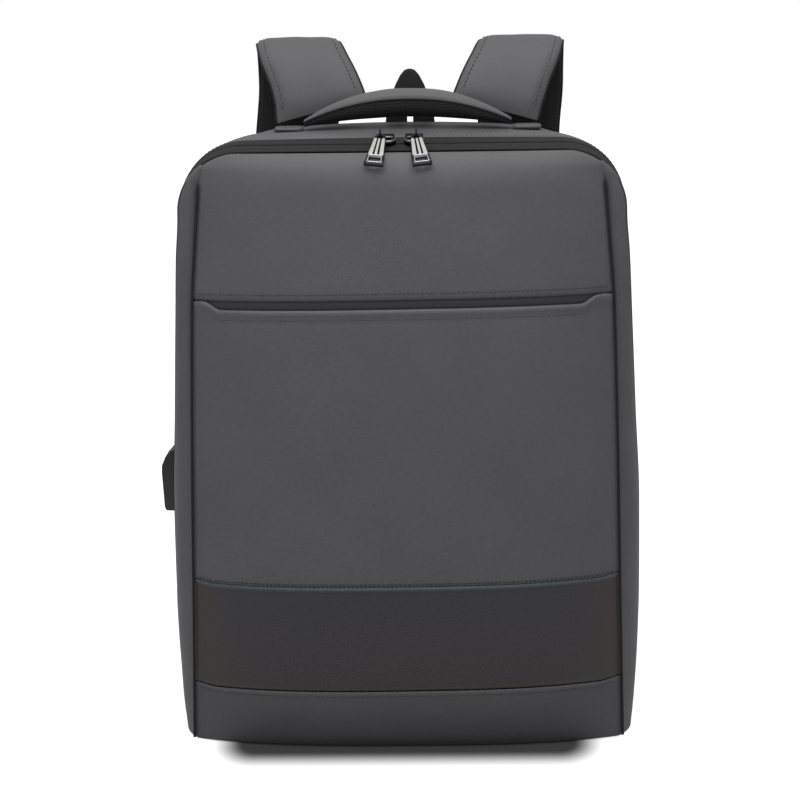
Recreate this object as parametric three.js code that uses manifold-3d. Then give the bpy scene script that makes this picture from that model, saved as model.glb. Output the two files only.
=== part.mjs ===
// Laptop backpack with an external USB charging port, in millimetres, +Z up, front facing -Y.
// Rear shell (back panel, gusset panels, base) is the fixed body. The front lid is a shallow
// soft tray that opens forward about its fold line at the bottom front edge once the main zip
// is undone. The shape functions below give the outer surface of both halves.
import * as THREE from "three";
import { mergeVertices } from "three/addons/utils/BufferGeometryUtils.js";
import Module from "manifold-3d";

const wasm = await Module();
wasm.setup();

// ---- driving dimensions ----
const Y_SHIFT = -1.2; // puts the object's box centre on Y = 0
const TOP_REAR = 424.5; // height of the body at its back edge
const TOP_ZIP = 416.4; // height of the body at the zip line
const CORNER_R = 42; // top corner radius, front view
const HALF_W = 164.2; // widest half width, a quarter of the way up
const BACK_Y = 30; // outer plane of the back panel
const ZIP_Y_TOP = -58; // zip plane at the top
const ZIP_SLANT = 0.07; // the zip runs back as it goes down the sides
const ZIP_LOW = 8; // lower ends of the zip
const TAPE_IN = 0.9; // half the gap between the two chain halves
const TAPE_OUT = 13.6; // rear tape edge, from the zip's centre line
const TAPE_FRONT = 12.7; // front tape edge
const TAPE_T = 0.9;
const WALL = 3; // padded gusset wall
const PANEL = 2.6; // front panels
const POCKET_TOP = 306.5; // folded top edge of the pocket panel
const POCKET_MOUTH = 313.2; // lower edge of the upper front panel
const BAND_TOP = 115; // iridescent band
const BAND_LOW = 41;
const POCKET_DEEP = 12; // depth of the pocket at its middle
const HINGE = { y: -103, z: 0.5 }; // fold line of the lid
const SLIDER_X = { left: -10.5, right: 9 };
const LINK_X = { left: -3.6, right: 1.4 }; // where each link hangs on its slider's bridge
const TAB_LEAN = { left: -6, right: 6 }; // how the pull tabs hang, degrees
const TAB_T = 1.8; // pull tab thickness
const FRONT_TOP = 412.2; // top edge of the front panel
const SLOPE = THREE.MathUtils.degToRad(14.8); // slope of the zip band at the top
const TAB_DIP = THREE.MathUtils.degToRad(17); // pull tab below the slope of the zip
const HANDLE = { x: 76, mid: 3.5, y: -2, w: 30, end: 423.6, low: 430.6, high: 450.5 };
const LOOP_X = 4.5; // the hanging loop sits a little to the right
const STRAP_W = 60;
const FABRIC = 0x4b4b50,
  BLACK = 0x17181a,
  MESH = 0x1c1d1e,
  METAL = 0x6f7072,
  IRID = 0x35353f,
  LINING = 0x3a3b40;

const group = new THREE.Group();
const mat = (color, roughness = 0.8, metalness = 0) =>
  new THREE.MeshStandardMaterial({ color, roughness, metalness });
function add(name, geometry, color, roughness, metalness) {
  const mesh = new THREE.Mesh(geometry, mat(color, roughness, metalness));
  mesh.name = name;
  mesh.position.set(0, Y_SHIFT, 0);
  group.add(mesh);
  return mesh;
}

// ---- small helpers ----
function table(pts, v) {
  if (v <= pts[0][0]) return pts[0][1];
  for (let i = 1; i < pts.length; i++)
    if (v <= pts[i][0]) {
      const t = (v - pts[i - 1][0]) / (pts[i][0] - pts[i - 1][0]);
      return pts[i - 1][1] + t * (pts[i][1] - pts[i - 1][1]);
    }
  return pts[pts.length - 1][1];
}
function fromTriangles(verts, tris) {
  const g = new THREE.BufferGeometry();
  g.setAttribute("position", new THREE.Float32BufferAttribute(verts.flat(), 3));
  let vol = 0;
  for (const [a, b, c] of tris) {
    const [p, q, r] = [verts[a], verts[b], verts[c]];
    vol +=
      p[0] * (q[1] * r[2] - q[2] * r[1]) -
      p[1] * (q[0] * r[2] - q[2] * r[0]) +
      p[2] * (q[0] * r[1] - q[1] * r[0]);
  }
  g.setIndex((vol < 0 ? tris.map(([a, b, c]) => [a, c, b]) : tris).flat());
  g.computeVertexNormals();
  return g;
}
// A closed slab between two grids of points of the same size.
function slab(outer, inner) {
  const n = outer.length,
    m = outer[0].length,
    verts = [...outer.flat(), ...inner.flat()],
    off = n * m,
    tris = [];
  const id = (i, j) => i * m + j;
  const quad = (a, b, c, d) => tris.push([a, b, c], [a, c, d]);
  for (let i = 0; i < n - 1; i++)
    for (let j = 0; j < m - 1; j++) {
      quad(id(i, j), id(i + 1, j), id(i + 1, j + 1), id(i, j + 1));
      quad(off + id(i, j), off + id(i, j + 1), off + id(i + 1, j + 1), off + id(i + 1, j));
    }
  for (let i = 0; i < n - 1; i++) {
    quad(id(i, 0), off + id(i, 0), off + id(i + 1, 0), id(i + 1, 0));
    quad(id(i, m - 1), id(i + 1, m - 1), off + id(i + 1, m - 1), off + id(i, m - 1));
  }
  for (let j = 0; j < m - 1; j++) {
    quad(id(0, j), id(0, j + 1), off + id(0, j + 1), off + id(0, j));
    quad(id(n - 1, j), off + id(n - 1, j), off + id(n - 1, j + 1), id(n - 1, j + 1));
  }
  return fromTriangles(verts, tris);
}
// A closed tube through rings of points of the same count.
function loft(rings) {
  const m = rings[0].length,
    verts = rings.flat(),
    tris = [];
  for (let i = 0; i < rings.length - 1; i++)
    for (let j = 0; j < m; j++) {
      const a = i * m + j,
        b = i * m + ((j + 1) % m);
      tris.push([a, b, b + m], [a, b + m, a + m]);
    }
  const last = (rings.length - 1) * m;
  for (let j = 1; j < m - 1; j++) {
    tris.push([0, j + 1, j]);
    tris.push([last, last + j, last + j + 1]);
  }
  return fromTriangles(verts, tris);
}
function solid(geometry) {
  const g = geometry.index ? geometry.toNonIndexed() : geometry.clone();
  for (const k of Object.keys(g.attributes)) if (k !== "position") g.deleteAttribute(k);
  const m = mergeVertices(g, 1e-4);
  return new wasm.Manifold(
    new wasm.Mesh({
      numProp: 3,
      vertProperties: new Float32Array(m.attributes.position.array),
      triVerts: new Uint32Array(m.index.array),
    }),
  );
}
function back(made) {
  const m = made.getMesh();
  const g = new THREE.BufferGeometry();
  const v = new Float32Array(m.numVert * 3);
  for (let i = 0; i < m.numVert; i++)
    v.set(m.vertProperties.subarray(i * m.numProp, i * m.numProp + 3), i * 3);
  g.setAttribute("position", new THREE.BufferAttribute(v, 3));
  g.setIndex(new THREE.BufferAttribute(new Uint32Array(m.triVerts), 1));
  return g;
}
const join = (...gs) => back(gs.map(solid).reduce((a, b) => a.add(b)));
const cut = (g, ...tools) => back(tools.map(solid).reduce((a, b) => a.subtract(b), solid(g)));
const box = (x0, x1, y0, y1, z0, z1) =>
  new THREE.BoxGeometry(x1 - x0, y1 - y0, z1 - z0).translate((x0 + x1) / 2, (y0 + y1) / 2, (z0 + z1) / 2);
// A closed outline in X and Z pushed along +Y.
function plateXZ(points, y0, y1, holes = []) {
  const turned = (list, ccw) => {
    const v = list.map(([x, z]) => new THREE.Vector2(x, z));
    return THREE.ShapeUtils.isClockWise(v) === ccw ? v.reverse() : v;
  };
  const shape = new THREE.Shape(turned(points, true));
  for (const h of holes) shape.holes.push(new THREE.Path(turned(h, false)));
  return new THREE.ExtrudeGeometry(shape, { depth: y1 - y0, bevelEnabled: false, steps: 1 })
    .rotateX(Math.PI / 2)
    .translate(0, y1, 0);
}
function roundRect(x0, x1, z0, z1, r, n = 4) {
  const pts = [];
  for (const [cx, cz, a0] of [
    [x1 - r, z0 + r, -90],
    [x1 - r, z1 - r, 0],
    [x0 + r, z1 - r, 90],
    [x0 + r, z0 + r, 180],
  ])
    for (let i = 0; i <= n; i++) {
      const a = THREE.MathUtils.degToRad(a0 + (90 * i) / n);
      pts.push([cx + r * Math.cos(a), cz + r * Math.sin(a)]);
    }
  return pts;
}

// ---- outer surface of the soft body ----
const taper = (z) =>
  table([[0, 0.945], [25, 0.974], [60, 0.993], [97, 1], [168, 0.997], [230, 0.979], [290, 0.963], [340, 0.948], [371, 0.933], [430, 0.931]], z);
const zipY = (z) => ZIP_Y_TOP + ZIP_SLANT * (411 - z);
// half width and top height at a distance d behind (+) or before (-) the zip line
const halfAt = (d) => table([[-14, HALF_W + 0.2], [0, HALF_W], [14, HALF_W - 0.4], [30, HALF_W - 0.9], [60, 158.5], [90, 152.5]], d);
const topAt = (d) => table([[-14, 412.6], [0, TOP_ZIP], [14, 419.8], [50, 423.1], [88, TOP_REAR]], d);
// the top corners open out and the top grows an arch towards the back
const cornerR = (d) => table([[-14, CORNER_R], [0, CORNER_R], [14, 44], [50, 52], [88, 60]], d);
const arch = (d, x) => table([[0, 0], [14, 1], [50, 3], [88, 4.5]], d) * Math.min(1.3, (x / 110) ** 2);
// Points (x, z) up the right side, round the corner and along the top to the middle.
function outline(d, zs, arc = 5, top = 3) {
  const T = topAt(d),
    W = halfAt(d),
    R = cornerR(d),
    cz = T - R,
    cx = W * taper(cz) - R,
    pts = [];
  for (const z of zs) if (z < cz - 1) pts.push([W * taper(z), z]);
  for (let i = 0; i <= arc; i++) {
    const a = (Math.PI / 2) * (i / arc);
    const x = cx + R * Math.cos(a);
    pts.push([x, cz + R * Math.sin(a) - arch(d, x) * Math.sin(a)]);
  }
  for (let i = 1; i <= top; i++) pts.push([cx * (1 - i / top), T - arch(d, cx * (1 - i / top))]);
  return pts;
}
const mirror = (pts) => [...pts, ...pts.slice(0, -1).reverse().map(([x, z]) => [-x, z])];
// Moves an outline inwards by t (both are lists of x, z).
function inset(pts, t) {
  return pts.map(([x, z], i) => {
    const [ax, az] = pts[Math.max(0, i - 1)],
      [bx, bz] = pts[Math.min(pts.length - 1, i + 1)];
    let nx = bz - az,
      nz = -(bx - ax);
    const l = Math.hypot(nx, nz);
    return [x - (nx / l) * t, z - (nz / l) * t];
  });
}
// A strip of the shell between two distances d0 and d1 from the zip line, or to the back panel's plane.
function shellStrip({ zs, ds, t0 = 0, t1, cornerOnly = false, sideOnly = 0, yAt }) {
  const outer = [],
    inner = [];
  for (const d of ds) {
    let pts = outline(d.d, zs);
    if (sideOnly) pts = pts.filter(([x, z]) => z <= sideOnly);
    else pts = mirror(pts);
    const a = inset(pts, t0),
      b = inset(pts, t1);
    const y = (z) => (yAt ? yAt(d, z) : zipY(z) + d.d);
    outer.push(a.map(([x, z]) => [x, y(z), z]));
    inner.push(b.map(([x, z]) => [x, y(z), z]));
  }
  return [outer, inner];
}
const flipX = (grid) => grid.map((row) => row.map(([x, y, z]) => [-x, y, z]));

const ZS = [ZIP_LOW, 25, 60, 97, 168, 230, 290, 340, 366];
// zip tapes and chain halves
{
  const make = (a, b, t0, t1) => slab(...shellStrip({ zs: ZS, ds: [{ d: a }, { d: b }], t0, t1 }));
  add("zip_tape_front", make(-TAPE_FRONT, -TAPE_IN, 0, TAPE_T), BLACK, 0.85);
  add("zip_tape_rear", make(TAPE_IN, TAPE_OUT, 0, TAPE_T), BLACK, 0.85);
  add("zip_chain_front", make(-TAPE_IN - 2.4, -TAPE_IN, TAPE_T + 0.3, TAPE_T + 2.3), BLACK, 0.5);
  add("zip_chain_rear", make(TAPE_IN, TAPE_IN + 2.4, TAPE_T + 0.3, TAPE_T + 2.3), BLACK, 0.5);
}
for (const [side, s] of [["left", -1], ["right", 1]]) {
  const x = halfAt(0) * taper(4);
  add(`zip_end_stop_${side}`, box(s * (x - 3.2) - 1.6, s * (x - 3.2) + 1.6, zipY(5) - 3.4, zipY(5) + 3.4, 2.6, 7.3), METAL, 0.4, 1);
}

// rear shell: the side panels and the top panel run back from the rear tape to the back panel
const rearY = (d, z) => {
  const y0 = zipY(z) + TAPE_OUT + 0.4;
  return y0 + (BACK_Y - y0) * d.f;
};
// half width of the shell at height z, below the split between side panels and top panel
const shellX = (d, z) => {
  const R = cornerR(d),
    cz = topAt(d) - R,
    W = halfAt(d);
  return z <= cz ? W * taper(z) : W * taper(cz) - R + Math.sqrt(R * R - (z - cz) ** 2);
};
const rearStations = [0, 0.33, 0.66, 1].map((f) => ({ f, d: 14 + 74 * f }));
{
  const zs = [1, 8, 25, 60, 97, 168, 230, 290, 340, 373.4];
  const outer = [],
    inner = [];
  for (const st of rearStations) {
    const pts = zs.map((z) => [shellX(st.d, z), z]);
    const b = inset(pts, WALL);
    outer.push(pts.map(([x, z]) => [x, rearY(st, z), z]));
    inner.push(b.map(([x, z], i) => [x, rearY(st, zs[i]), zs[i]]));
  }
  add("side_panel_right", slab(outer, inner), FABRIC);
  // aperture for the charging port
  const left = cut(slab(flipX(outer), flipX(inner)), box(-172, -152, -15, -1, 156, 190));
  add("side_panel_left", left, FABRIC);
  const o2 = [],
    i2 = [];
  for (const st of rearStations) {
    const T = topAt(st.d),
      R = cornerR(st.d),
      cz = T - R,
      cx = halfAt(st.d) * taper(cz) - R,
      low = Math.asin(Math.max(0, 376 - cz) / R);
    let pts = [[shellX(st.d, 374), 374]];
    for (let i = 0; i <= 5; i++) {
      const a = low + ((Math.PI / 2 - low) * i) / 5,
        x = cx + R * Math.cos(a);
      if (i > 0) pts.push([x, cz + R * Math.sin(a) - arch(st.d, x) * Math.sin(a)]);
    }
    for (let i = 1; i <= 3; i++) pts.push([cx * (1 - i / 3), T - arch(st.d, cx * (1 - i / 3))]);
    pts = mirror(pts);
    const b = inset(pts, WALL);
    o2.push(pts.map(([x, z]) => [x, rearY(st, z), z]));
    i2.push(b.map(([x, z]) => [x, rearY(st, z), z]));
    i2[i2.length - 1][0][2] = o2[o2.length - 1][0][2];
    const m = i2[i2.length - 1].length - 1;
    i2[i2.length - 1][m][2] = o2[o2.length - 1][m][2];
  }
  add("top_panel", slab(o2, i2), FABRIC);
}

// back panel with its pads
{
  const W = 152.5 - WALL - 0.8,
    zs = [3.9, 25, 60, 97, 168, 230, 290, 340, 358];
  const side = zs.map((z) => [W * taper(z), z]);
  const T = TOP_REAR - WALL - 5.2,
    r = 55,
    cx = W * taper(T - r) - r;
  for (let i = 1; i <= 5; i++) {
    const a = (Math.PI / 2) * (i / 5);
    side.push([cx + r * Math.cos(a), T - r + r * Math.sin(a)]);
  }
  const all = [...side, ...side.slice().reverse().map(([x, z]) => [-x, z])];
  add("back_panel", plateXZ(all, BACK_Y - 8, BACK_Y), BLACK);
  for (const [name, s] of [["back_pad_left", -1], ["back_pad_right", 1]])
    add(name, plateXZ(roundRect(s > 0 ? 14 : -130, s > 0 ? 130 : -14, 150, 372, 26, 3), BACK_Y + 0.3, BACK_Y + 7), MESH);
  add("lumbar_pad", plateXZ(roundRect(-106, 106, 44, 138, 24, 3), BACK_Y + 0.3, BACK_Y + 7), MESH);
  add("shoulder_yoke", plateXZ(roundRect(-104, 104, 384, 416, 7, 2), BACK_Y + 0.3, BACK_Y + 2.8), BLACK);
}
// base panel: its front edge follows the lid's lower panel
const a0 = (z) => table([[0, 151.3], [99, 149.5], [171, 148.4], [242, 147], [311, 145], [353, 142], [391, 139]], z);
const seamY = (z) => -82 + 0.025 * z;
const bulge = (z) => table([[0, 20.5], [30, 24], [110, 25], [200, 23], [305, 19], [380, 14.5], [413, 13]], z);
const halfFront = (z) => {
  const T = FRONT_TOP,
    R = CORNER_R,
    top = halfAt(-14) * taper(T - R) - R;
  const arc = z > T - R ? top + Math.sqrt(Math.max(0, R * R - (z - T + R) ** 2)) : 999;
  return Math.min(a0(z), arc);
};
// front surface of the lid: y at u across (-1 to 1) and height z
function frontY(u, z, off = 0) {
  const roll = z > FRONT_TOP - 25.6 ? Math.sqrt(Math.max(0, 1 - ((z - FRONT_TOP + 25.6) / 26) ** 2)) : z < 10 ? 0.86 + 0.14 * Math.sqrt(1 - ((10 - z) / 10) ** 2) : 1;
  return seamY(z) - bulge(z) * (1 - Math.abs(u) ** 3) * roll + off;
}
const COLS = [0, 0.19, 0.38, 0.55, 0.7, 0.83, 0.9, 0.96, 1];
const COLUMNS = [...COLS.slice(1).reverse().map((u) => -u), ...COLS];
// Rows at the heights zs, columns out to umax; shrink pulls the side edges in.
function frontGrid(zs, off, umax = 1, shrink = 0) {
  return zs.map((z) =>
    COLUMNS.filter((u) => Math.abs(u) <= umax).map((u) => [
      u * (halfFront(z) - shrink),
      frontY(u, z, typeof off === "function" ? off(u, z) : off),
      z,
    ]),
  );
}
{
  const pts = [];
  for (let i = 0; i <= 16; i++) {
    const x = -148.4 + (296.8 * i) / 16;
    pts.push([x, frontY(x / 151.2, 3, PANEL + 1.2)]);
  }
  const shape = new THREE.Shape([...pts.map(([x, y]) => new THREE.Vector2(x, y)), new THREE.Vector2(139.6, BACK_Y - 0.5), new THREE.Vector2(-139.6, BACK_Y - 0.5)]);
  add("base_panel", new THREE.ExtrudeGeometry(shape, { depth: 3.5, bevelEnabled: false }), FABRIC);
}
// laptop divider, sewn in at the base and sides
add("laptop_divider", plateXZ(roundRect(-141, 141, 4.2, 302, 14, 3), -6, -1.5), LINING);

// ---- front lid ----
const SEAM_GAP = 1.6; // room for the piping at the side seams
{
  const rowsUp = [POCKET_MOUTH, 332, 352, 372, 387, 395, 401.6, 406.6, 410.1, FRONT_TOP];
  const rowsUpIn = [POCKET_MOUTH, 332, 352, 372, 386, 393, 398.6, 403.6, 407, FRONT_TOP - 3];
  add("front_upper_panel", slab(frontGrid(rowsUp, 0, 1, SEAM_GAP), frontGrid(rowsUpIn, PANEL, 1, SEAM_GAP + 1)), FABRIC);
  const rowsPocket = [BAND_TOP + 0.4, BAND_TOP + 3.4, 135, 165, 200, 235, 270, POCKET_TOP];
  add("front_pocket_panel", slab(frontGrid(rowsPocket, 0, 1, SEAM_GAP), frontGrid(rowsPocket, PANEL, 1, SEAM_GAP + 0.5)), FABRIC);
  const rowsBand = [BAND_LOW + 0.4, 65, 90, BAND_TOP - 0.4];
  add("iridescent_band", slab(frontGrid(rowsBand, 0, 1, SEAM_GAP), frontGrid(rowsBand, PANEL, 1, SEAM_GAP + 0.5)), IRID, 0.35);
  const rowsLow = [1, 4, 9, 20, 30, BAND_LOW - 0.4];
  add("front_lower_panel", slab(frontGrid(rowsLow, 0, 1, SEAM_GAP), frontGrid(rowsLow, PANEL, 1, SEAM_GAP + 0.5)), FABRIC);
  // pocket: the lining is a dish that meets the pocket panel at its sewn sides and bottom
  const dish = (u, z) => {
    const e = Math.min(1, (0.96 - Math.abs(u)) / 0.13) * Math.min(1, (z - (BAND_TOP + 3.4)) / 18);
    return PANEL + 0.6 + (POCKET_DEEP - 0.6) * Math.max(0, e);
  };
  const rowsDish = [BAND_TOP + 3.4, 135, 165, 200, 235, 270, POCKET_TOP, POCKET_MOUTH - 0.4];
  add("pocket_lining", slab(frontGrid(rowsDish, dish, 0.96, SEAM_GAP + 0.5), frontGrid(rowsDish, (u, z) => dish(u, z) + 1.2, 0.96, SEAM_GAP + 0.5)), LINING);
  const rowsMouth = [284, POCKET_TOP, POCKET_MOUTH - 0.6];
  add("pocket_mouth_facing", slab(frontGrid(rowsMouth, PANEL + POCKET_DEEP - 1.5, 0.83, SEAM_GAP + 0.5), frontGrid(rowsMouth, PANEL + POCKET_DEEP - 0.4, 0.83, SEAM_GAP + 0.5)), IRID, 0.35);
  // side gussets of the lid, from the front seam back to the zip tape, and the piping in the seam
  const zs = [1, 25, 60, 97, 168, 230, 290, 340, 366, 376, 386, 393];
  const tapeX = (z) => {
    const c = topAt(-14) - CORNER_R,
      x = halfAt(-14) * taper(c) - CORNER_R;
    return z > c ? x + Math.sqrt(CORNER_R ** 2 - (z - c) ** 2) : halfAt(-14) * taper(z);
  };
  for (const [side, s] of [["left", -1], ["right", 1]]) {
    const outer = [],
      inner = [];
    for (const z of zs) {
      const x0 = a0(z),
        y1 = zipY(z) - TAPE_FRONT - 0.4,
        y0 = Math.min(seamY(z) + 3.1, y1 - 1),
        x1 = tapeX(z),
        ro = [],
        ri = [];
      for (const t of [0, 0.5, 1]) {
        const w = Math.sin(Math.PI * t) * 0.12 * Math.hypot(x1 - x0, y1 - y0);
        const l = Math.hypot(x1 - x0, y1 - y0),
          nx = (y1 - y0) / l,
          ny = -(x1 - x0) / l;
        const px = x0 + (x1 - x0) * t + nx * w,
          py = y0 + (y1 - y0) * t + ny * w;
        ro.push([s * px, py, z]);
        ri.push([s * (px - nx * 2.2), py - ny * 2.2 * (t === 1 ? 0 : 1), z]);
      }
      outer.push(ro);
      inner.push(ri);
    }
    add(`front_gusset_${side}`, slab(outer, inner), FABRIC);
    const rings = [1.5, 25, 60, 99, 171, 242, 311, 353, 391].map((z) => {
      const ring = [];
      for (let k = 0; k < 6; k++) {
        const a = (Math.PI / 3) * k;
        ring.push([s * (a0(z) - 0.3) + 0.95 * Math.cos(a), seamY(z) - 0.2 + 0.95 * Math.sin(a), z]);
      }
      return ring;
    });
    add(`seam_piping_${side}`, loft(rings), BLACK);
  }
}

// ---- zip sliders, links and pull tabs (they ride on the lid's half of the zip) ----
const circle = (cx, cz, r, n = 12) =>
  Array.from({ length: n }, (_, i) => [cx + r * Math.cos((2 * Math.PI * i) / n), cz + r * Math.sin((2 * Math.PI * i) / n)]);
for (const [side, sx] of [["left", -1], ["right", 1]]) {
  const frame = new THREE.Group();
  frame.position.set(SLIDER_X[side], ZIP_Y_TOP + Y_SHIFT - 0.22, TOP_ZIP + 0.1);
  frame.rotation.set(SLOPE, 0, 0);
  const put = (name, g, color, rough, metal) => {
    const mesh = new THREE.Mesh(g, mat(color, rough, metal));
    mesh.name = name;
    frame.add(mesh);
    return mesh;
  };
  // body: top plate, neck between the chain halves, bottom plate, and the bridge over the top plate
  const plate = (w, d, z0, z1) => {
    const pts = [];
    for (let i = 0; i < 16; i++) {
      const a = (2 * Math.PI * i) / 16;
      pts.push(new THREE.Vector2((w / 2) * Math.sign(Math.cos(a)) * Math.abs(Math.cos(a)) ** 0.7, (d / 2) * Math.sign(Math.sin(a)) * Math.abs(Math.sin(a)) ** 0.7));
    }
    return new THREE.ExtrudeGeometry(new THREE.Shape(pts), { depth: z1 - z0, bevelEnabled: false }).translate(0, 0, z0);
  };
  put(
    `slider_${side}`,
    join(
      plate(14, 11.5, 1.0, 2.4),
      plate(12, 8, -5.4, -4.2).translate(0, -1.5, 0),
      box(-sx * 4.4 - 1.4, -sx * 4.4 + 1.4, -0.5, 0.5, -5, 2).rotateX(-SLOPE),
      box(-6, -4.9, -0.6, 0.6, 2, 7),
      box(4.9, 6, -0.6, 0.6, 2, 7),
      box(-6, 6, -0.6, 0.6, 5.9, 7.1),
    ),
    METAL,
    0.3,
    1,
  );
  // link: a ring of wire under the bridge bar
  const lx = LINK_X[side],
    C = { y: -1.75, z: 7.1 },
    ringR = 3.5;
  put(`pull_link_${side}`, new THREE.TorusGeometry(ringR, 0.6, 6, 16).rotateY(Math.PI / 2).translate(lx, C.y, C.z), METAL, 0.3, 1);
  // tab: tapered plate with an eye and a window, hanging forward from the link
  const tab = new THREE.Group();
  tab.position.set(lx, C.y - ringR * Math.cos(TAB_DIP), C.z - ringR * Math.sin(TAB_DIP));
  tab.rotation.set(TAB_DIP, 0, 0);
  const outlineTab = [
    [-3.6, 2.2], [-2.8, 2.9], [2.8, 2.9], [3.6, 2.2], [4.1, -2], [6.6, -27.6], [5.7, -29.4], [-5.7, -29.4], [-6.6, -27.6], [-4.1, -2],
  ];
  // drawn in x and along the tab, then laid flat so that it runs forward
  const g = plateXZ(outlineTab, -TAB_T / 2, TAB_T / 2, [circle(0, 0, 1.5), [[-4.1, -20], [4.1, -20], [4.5, -26.4], [-4.5, -26.4]]]).rotateX(-Math.PI / 2);
  const tm = new THREE.Mesh(g, mat(METAL, 0.3, 1));
  tm.name = `pull_tab_${side}`;
  tm.rotation.z = THREE.MathUtils.degToRad(TAB_LEAN[side]);
  tab.add(tm);
  frame.add(tab);
  group.add(frame);
}

// ---- carry handle ----
{
  const N = 12,
    half = HANDLE.x - 3;
  const mid = (x) => {
    const q = Math.abs(x) / HANDLE.x;
    const top = HANDLE.end + 3.6 + (HANDLE.high - HANDLE.end - 3.6) * (1 - q ** 2.2);
    const low = HANDLE.end + (HANDLE.low - HANDLE.end) * Math.max(0, 1 - q ** 2);
    const w = (HANDLE.w / 2) * (1 - 0.74 * q ** 4);
    return { top, low, w };
  };
  const ring = (x, upper) => {
    const { top, low, w } = mid(x),
      m = low + (top - low) * 0.62,
      pts = [];
    const h = upper ? top - m - 0.2 : m - low - 0.2,
      s = upper ? 1 : -1;
    for (let k = 0; k <= 6; k++) {
      const a = (Math.PI * k) / 6;
      pts.push([HANDLE.mid + x, HANDLE.y + w * Math.cos(a), m + s * (0.2 + h * Math.sin(a) ** 0.75)]);
    }
    return pts;
  };
  const rings = (upper) => Array.from({ length: N + 1 }, (_, i) => ring(-half + (2 * half * i) / N, upper));
  add("handle_cover", loft(rings(true)), FABRIC);
  add("handle_mesh", loft(rings(false)), MESH);
  for (const [side, s] of [["left", -1], ["right", 1]])
    add(`handle_tab_${side}`, box(HANDLE.mid + s * 84 - 10, HANDLE.mid + s * 84 + 10, HANDLE.y - 9, HANDLE.y + 9, 422.6, 425.2), FABRIC);
}
// ---- hanging loop ----
{
  const outer = [[-19.5, 423], [-17.5, 432], [-11, 450], [-6, 458.5], [-3, 461.6], [3, 461.6], [6, 458.5], [11, 450], [17.5, 432], [19.5, 423], [2.4, 423], [2.6, 430], [4.6, 436], [4.2, 444], [2, 449], [-2, 449], [-4.2, 444], [-4.6, 436], [-2.6, 430], [-2.4, 423]];
  add("hanging_loop", plateXZ(outer.map(([x, z]) => [LOOP_X + x * 0.9, z]), BACK_Y + 3.2, BACK_Y + 6), BLACK);
}

// ---- shoulder straps ----
const PATH = [
  [62.5, 39.5, 432], [66.3, 42.8, 445], [72.6, 49, 460.5], [79.2, 58, 473.8], [81.7, 68, 479], [82, 79, 475], [82, 87.5, 462], [82, 92, 440],
  [82.5, 94, 405], [84.5, 93.5, 350], [90, 90, 290], [97, 81, 225], [103, 68, 168], [107.5, 56.5, 128],
].map((p) => new THREE.Vector3(...p));
for (const [side, s] of [["left", -1], ["right", 1]]) {
  const curve = new THREE.CatmullRomCurve3(PATH, false, "centripetal");
  const N = 26;
  const sweep = (t0, t1, widen) => {
    const rings = [];
    for (let i = 0; i <= N; i++) {
      const t = i / N,
        p = curve.getPoint(t),
        d = curve.getTangent(t);
      const across = new THREE.Vector3(1, 0, 0).addScaledVector(d, -d.x).normalize();
      const n = new THREE.Vector3().crossVectors(across, d).normalize(); // points out of the outer face
      const w = (t < 0.16 ? 33 - 3 * (t / 0.16) : t > 0.8 ? 30 - 8 * ((t - 0.8) / 0.2) : 30) + widen;
      const q = (a, h) => {
        const v = p.clone().addScaledVector(across, a).addScaledVector(n, h);
        return [s * v.x, v.y, v.z];
      };
      rings.push([q(-w, t0), q(-w + 3, t1), q(w - 3, t1), q(w, t0)]);
    }
    return loft(rings);
  };
  add(`strap_cover_${side}`, sweep(0.2, 5, 0), FABRIC);
  add(`strap_mesh_${side}`, sweep(-0.2, -5, 0), MESH);
  // ladder lock on its loop at the strap's tip, in a frame along the lower webbing
  const top = new THREE.Vector3(108.5, 53.5, 121),
    anchor = new THREE.Vector3(133, 46.5, 41);
  const dir = anchor.clone().sub(top).normalize();
  const lock = new THREE.Group();
  lock.position.set(s * top.x, top.y + Y_SHIFT, top.z);
  const m = new THREE.Matrix4();
  const yDown = new THREE.Vector3(s * dir.x, dir.y, dir.z).negate(); // local +z, up along the webbing
  const xa = new THREE.Vector3(1, 0, 0).sub(yDown.clone().multiplyScalar(yDown.x)).normalize();
  const ya = new THREE.Vector3().crossVectors(yDown, xa);
  m.makeBasis(xa, ya, yDown);
  lock.quaternion.setFromRotationMatrix(m);
  const L = (name, g, color, r, me) => {
    const mesh = new THREE.Mesh(g, mat(color, r, me));
    mesh.name = name;
    lock.add(mesh);
  };
  const slot = (z0, z1) => [[-13.4, z0], [13.4, z0], [13.4, z1], [-13.4, z1]];
  L(`ladder_lock_${side}`, plateXZ(roundRect(-17, 17, -27, -5, 3, 2), -1.7, 1.7, [slot(-24.6, -19.4), slot(-17, -13.6), slot(-11.2, -8.2)]), BLACK, 0.45);
  L(`ladder_loop_${side}`, join(box(-12.6, 12.6, 2.0, 3.0, -12.6, 2), box(-12.6, 12.6, -3.0, -2.0, -12.6, 2), box(-12.6, 12.6, -3, 3, 1, 2), box(-12.6, 12.6, -2.6, 2.6, -10.3, -9.2)), BLACK, 0.8);
  // adjusting webbing: up from the anchor, through the lock and down again as a free tail
  const len = anchor.distanceTo(top);
  L(`strap_webbing_${side}`, join(box(-12.5, 12.5, -3.2, -2.2, -len, -14.7), box(-12.5, 12.5, -3.2, 3.6, -15.9, -14.7), box(-12.5, 12.5, 2.4, 3.6, -78, -14.7)), BLACK, 0.8);
  group.add(lock);
  // wing sewn into the side seam, standing off the back to meet the webbing
  const wing = (xa, xb, y, z) => [[s * xa, y, z], [s * xb, y, z], [s * xb, y + 2.6, z], [s * xa, y + 2.6, z]];
  add(`strap_anchor_${side}`, loft([wing(116, 147, BACK_Y + 0.3, 8), wing(118, 147.5, BACK_Y + 3, 20), wing(121, 146, BACK_Y + 10, 34)]), BLACK);
}

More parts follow.
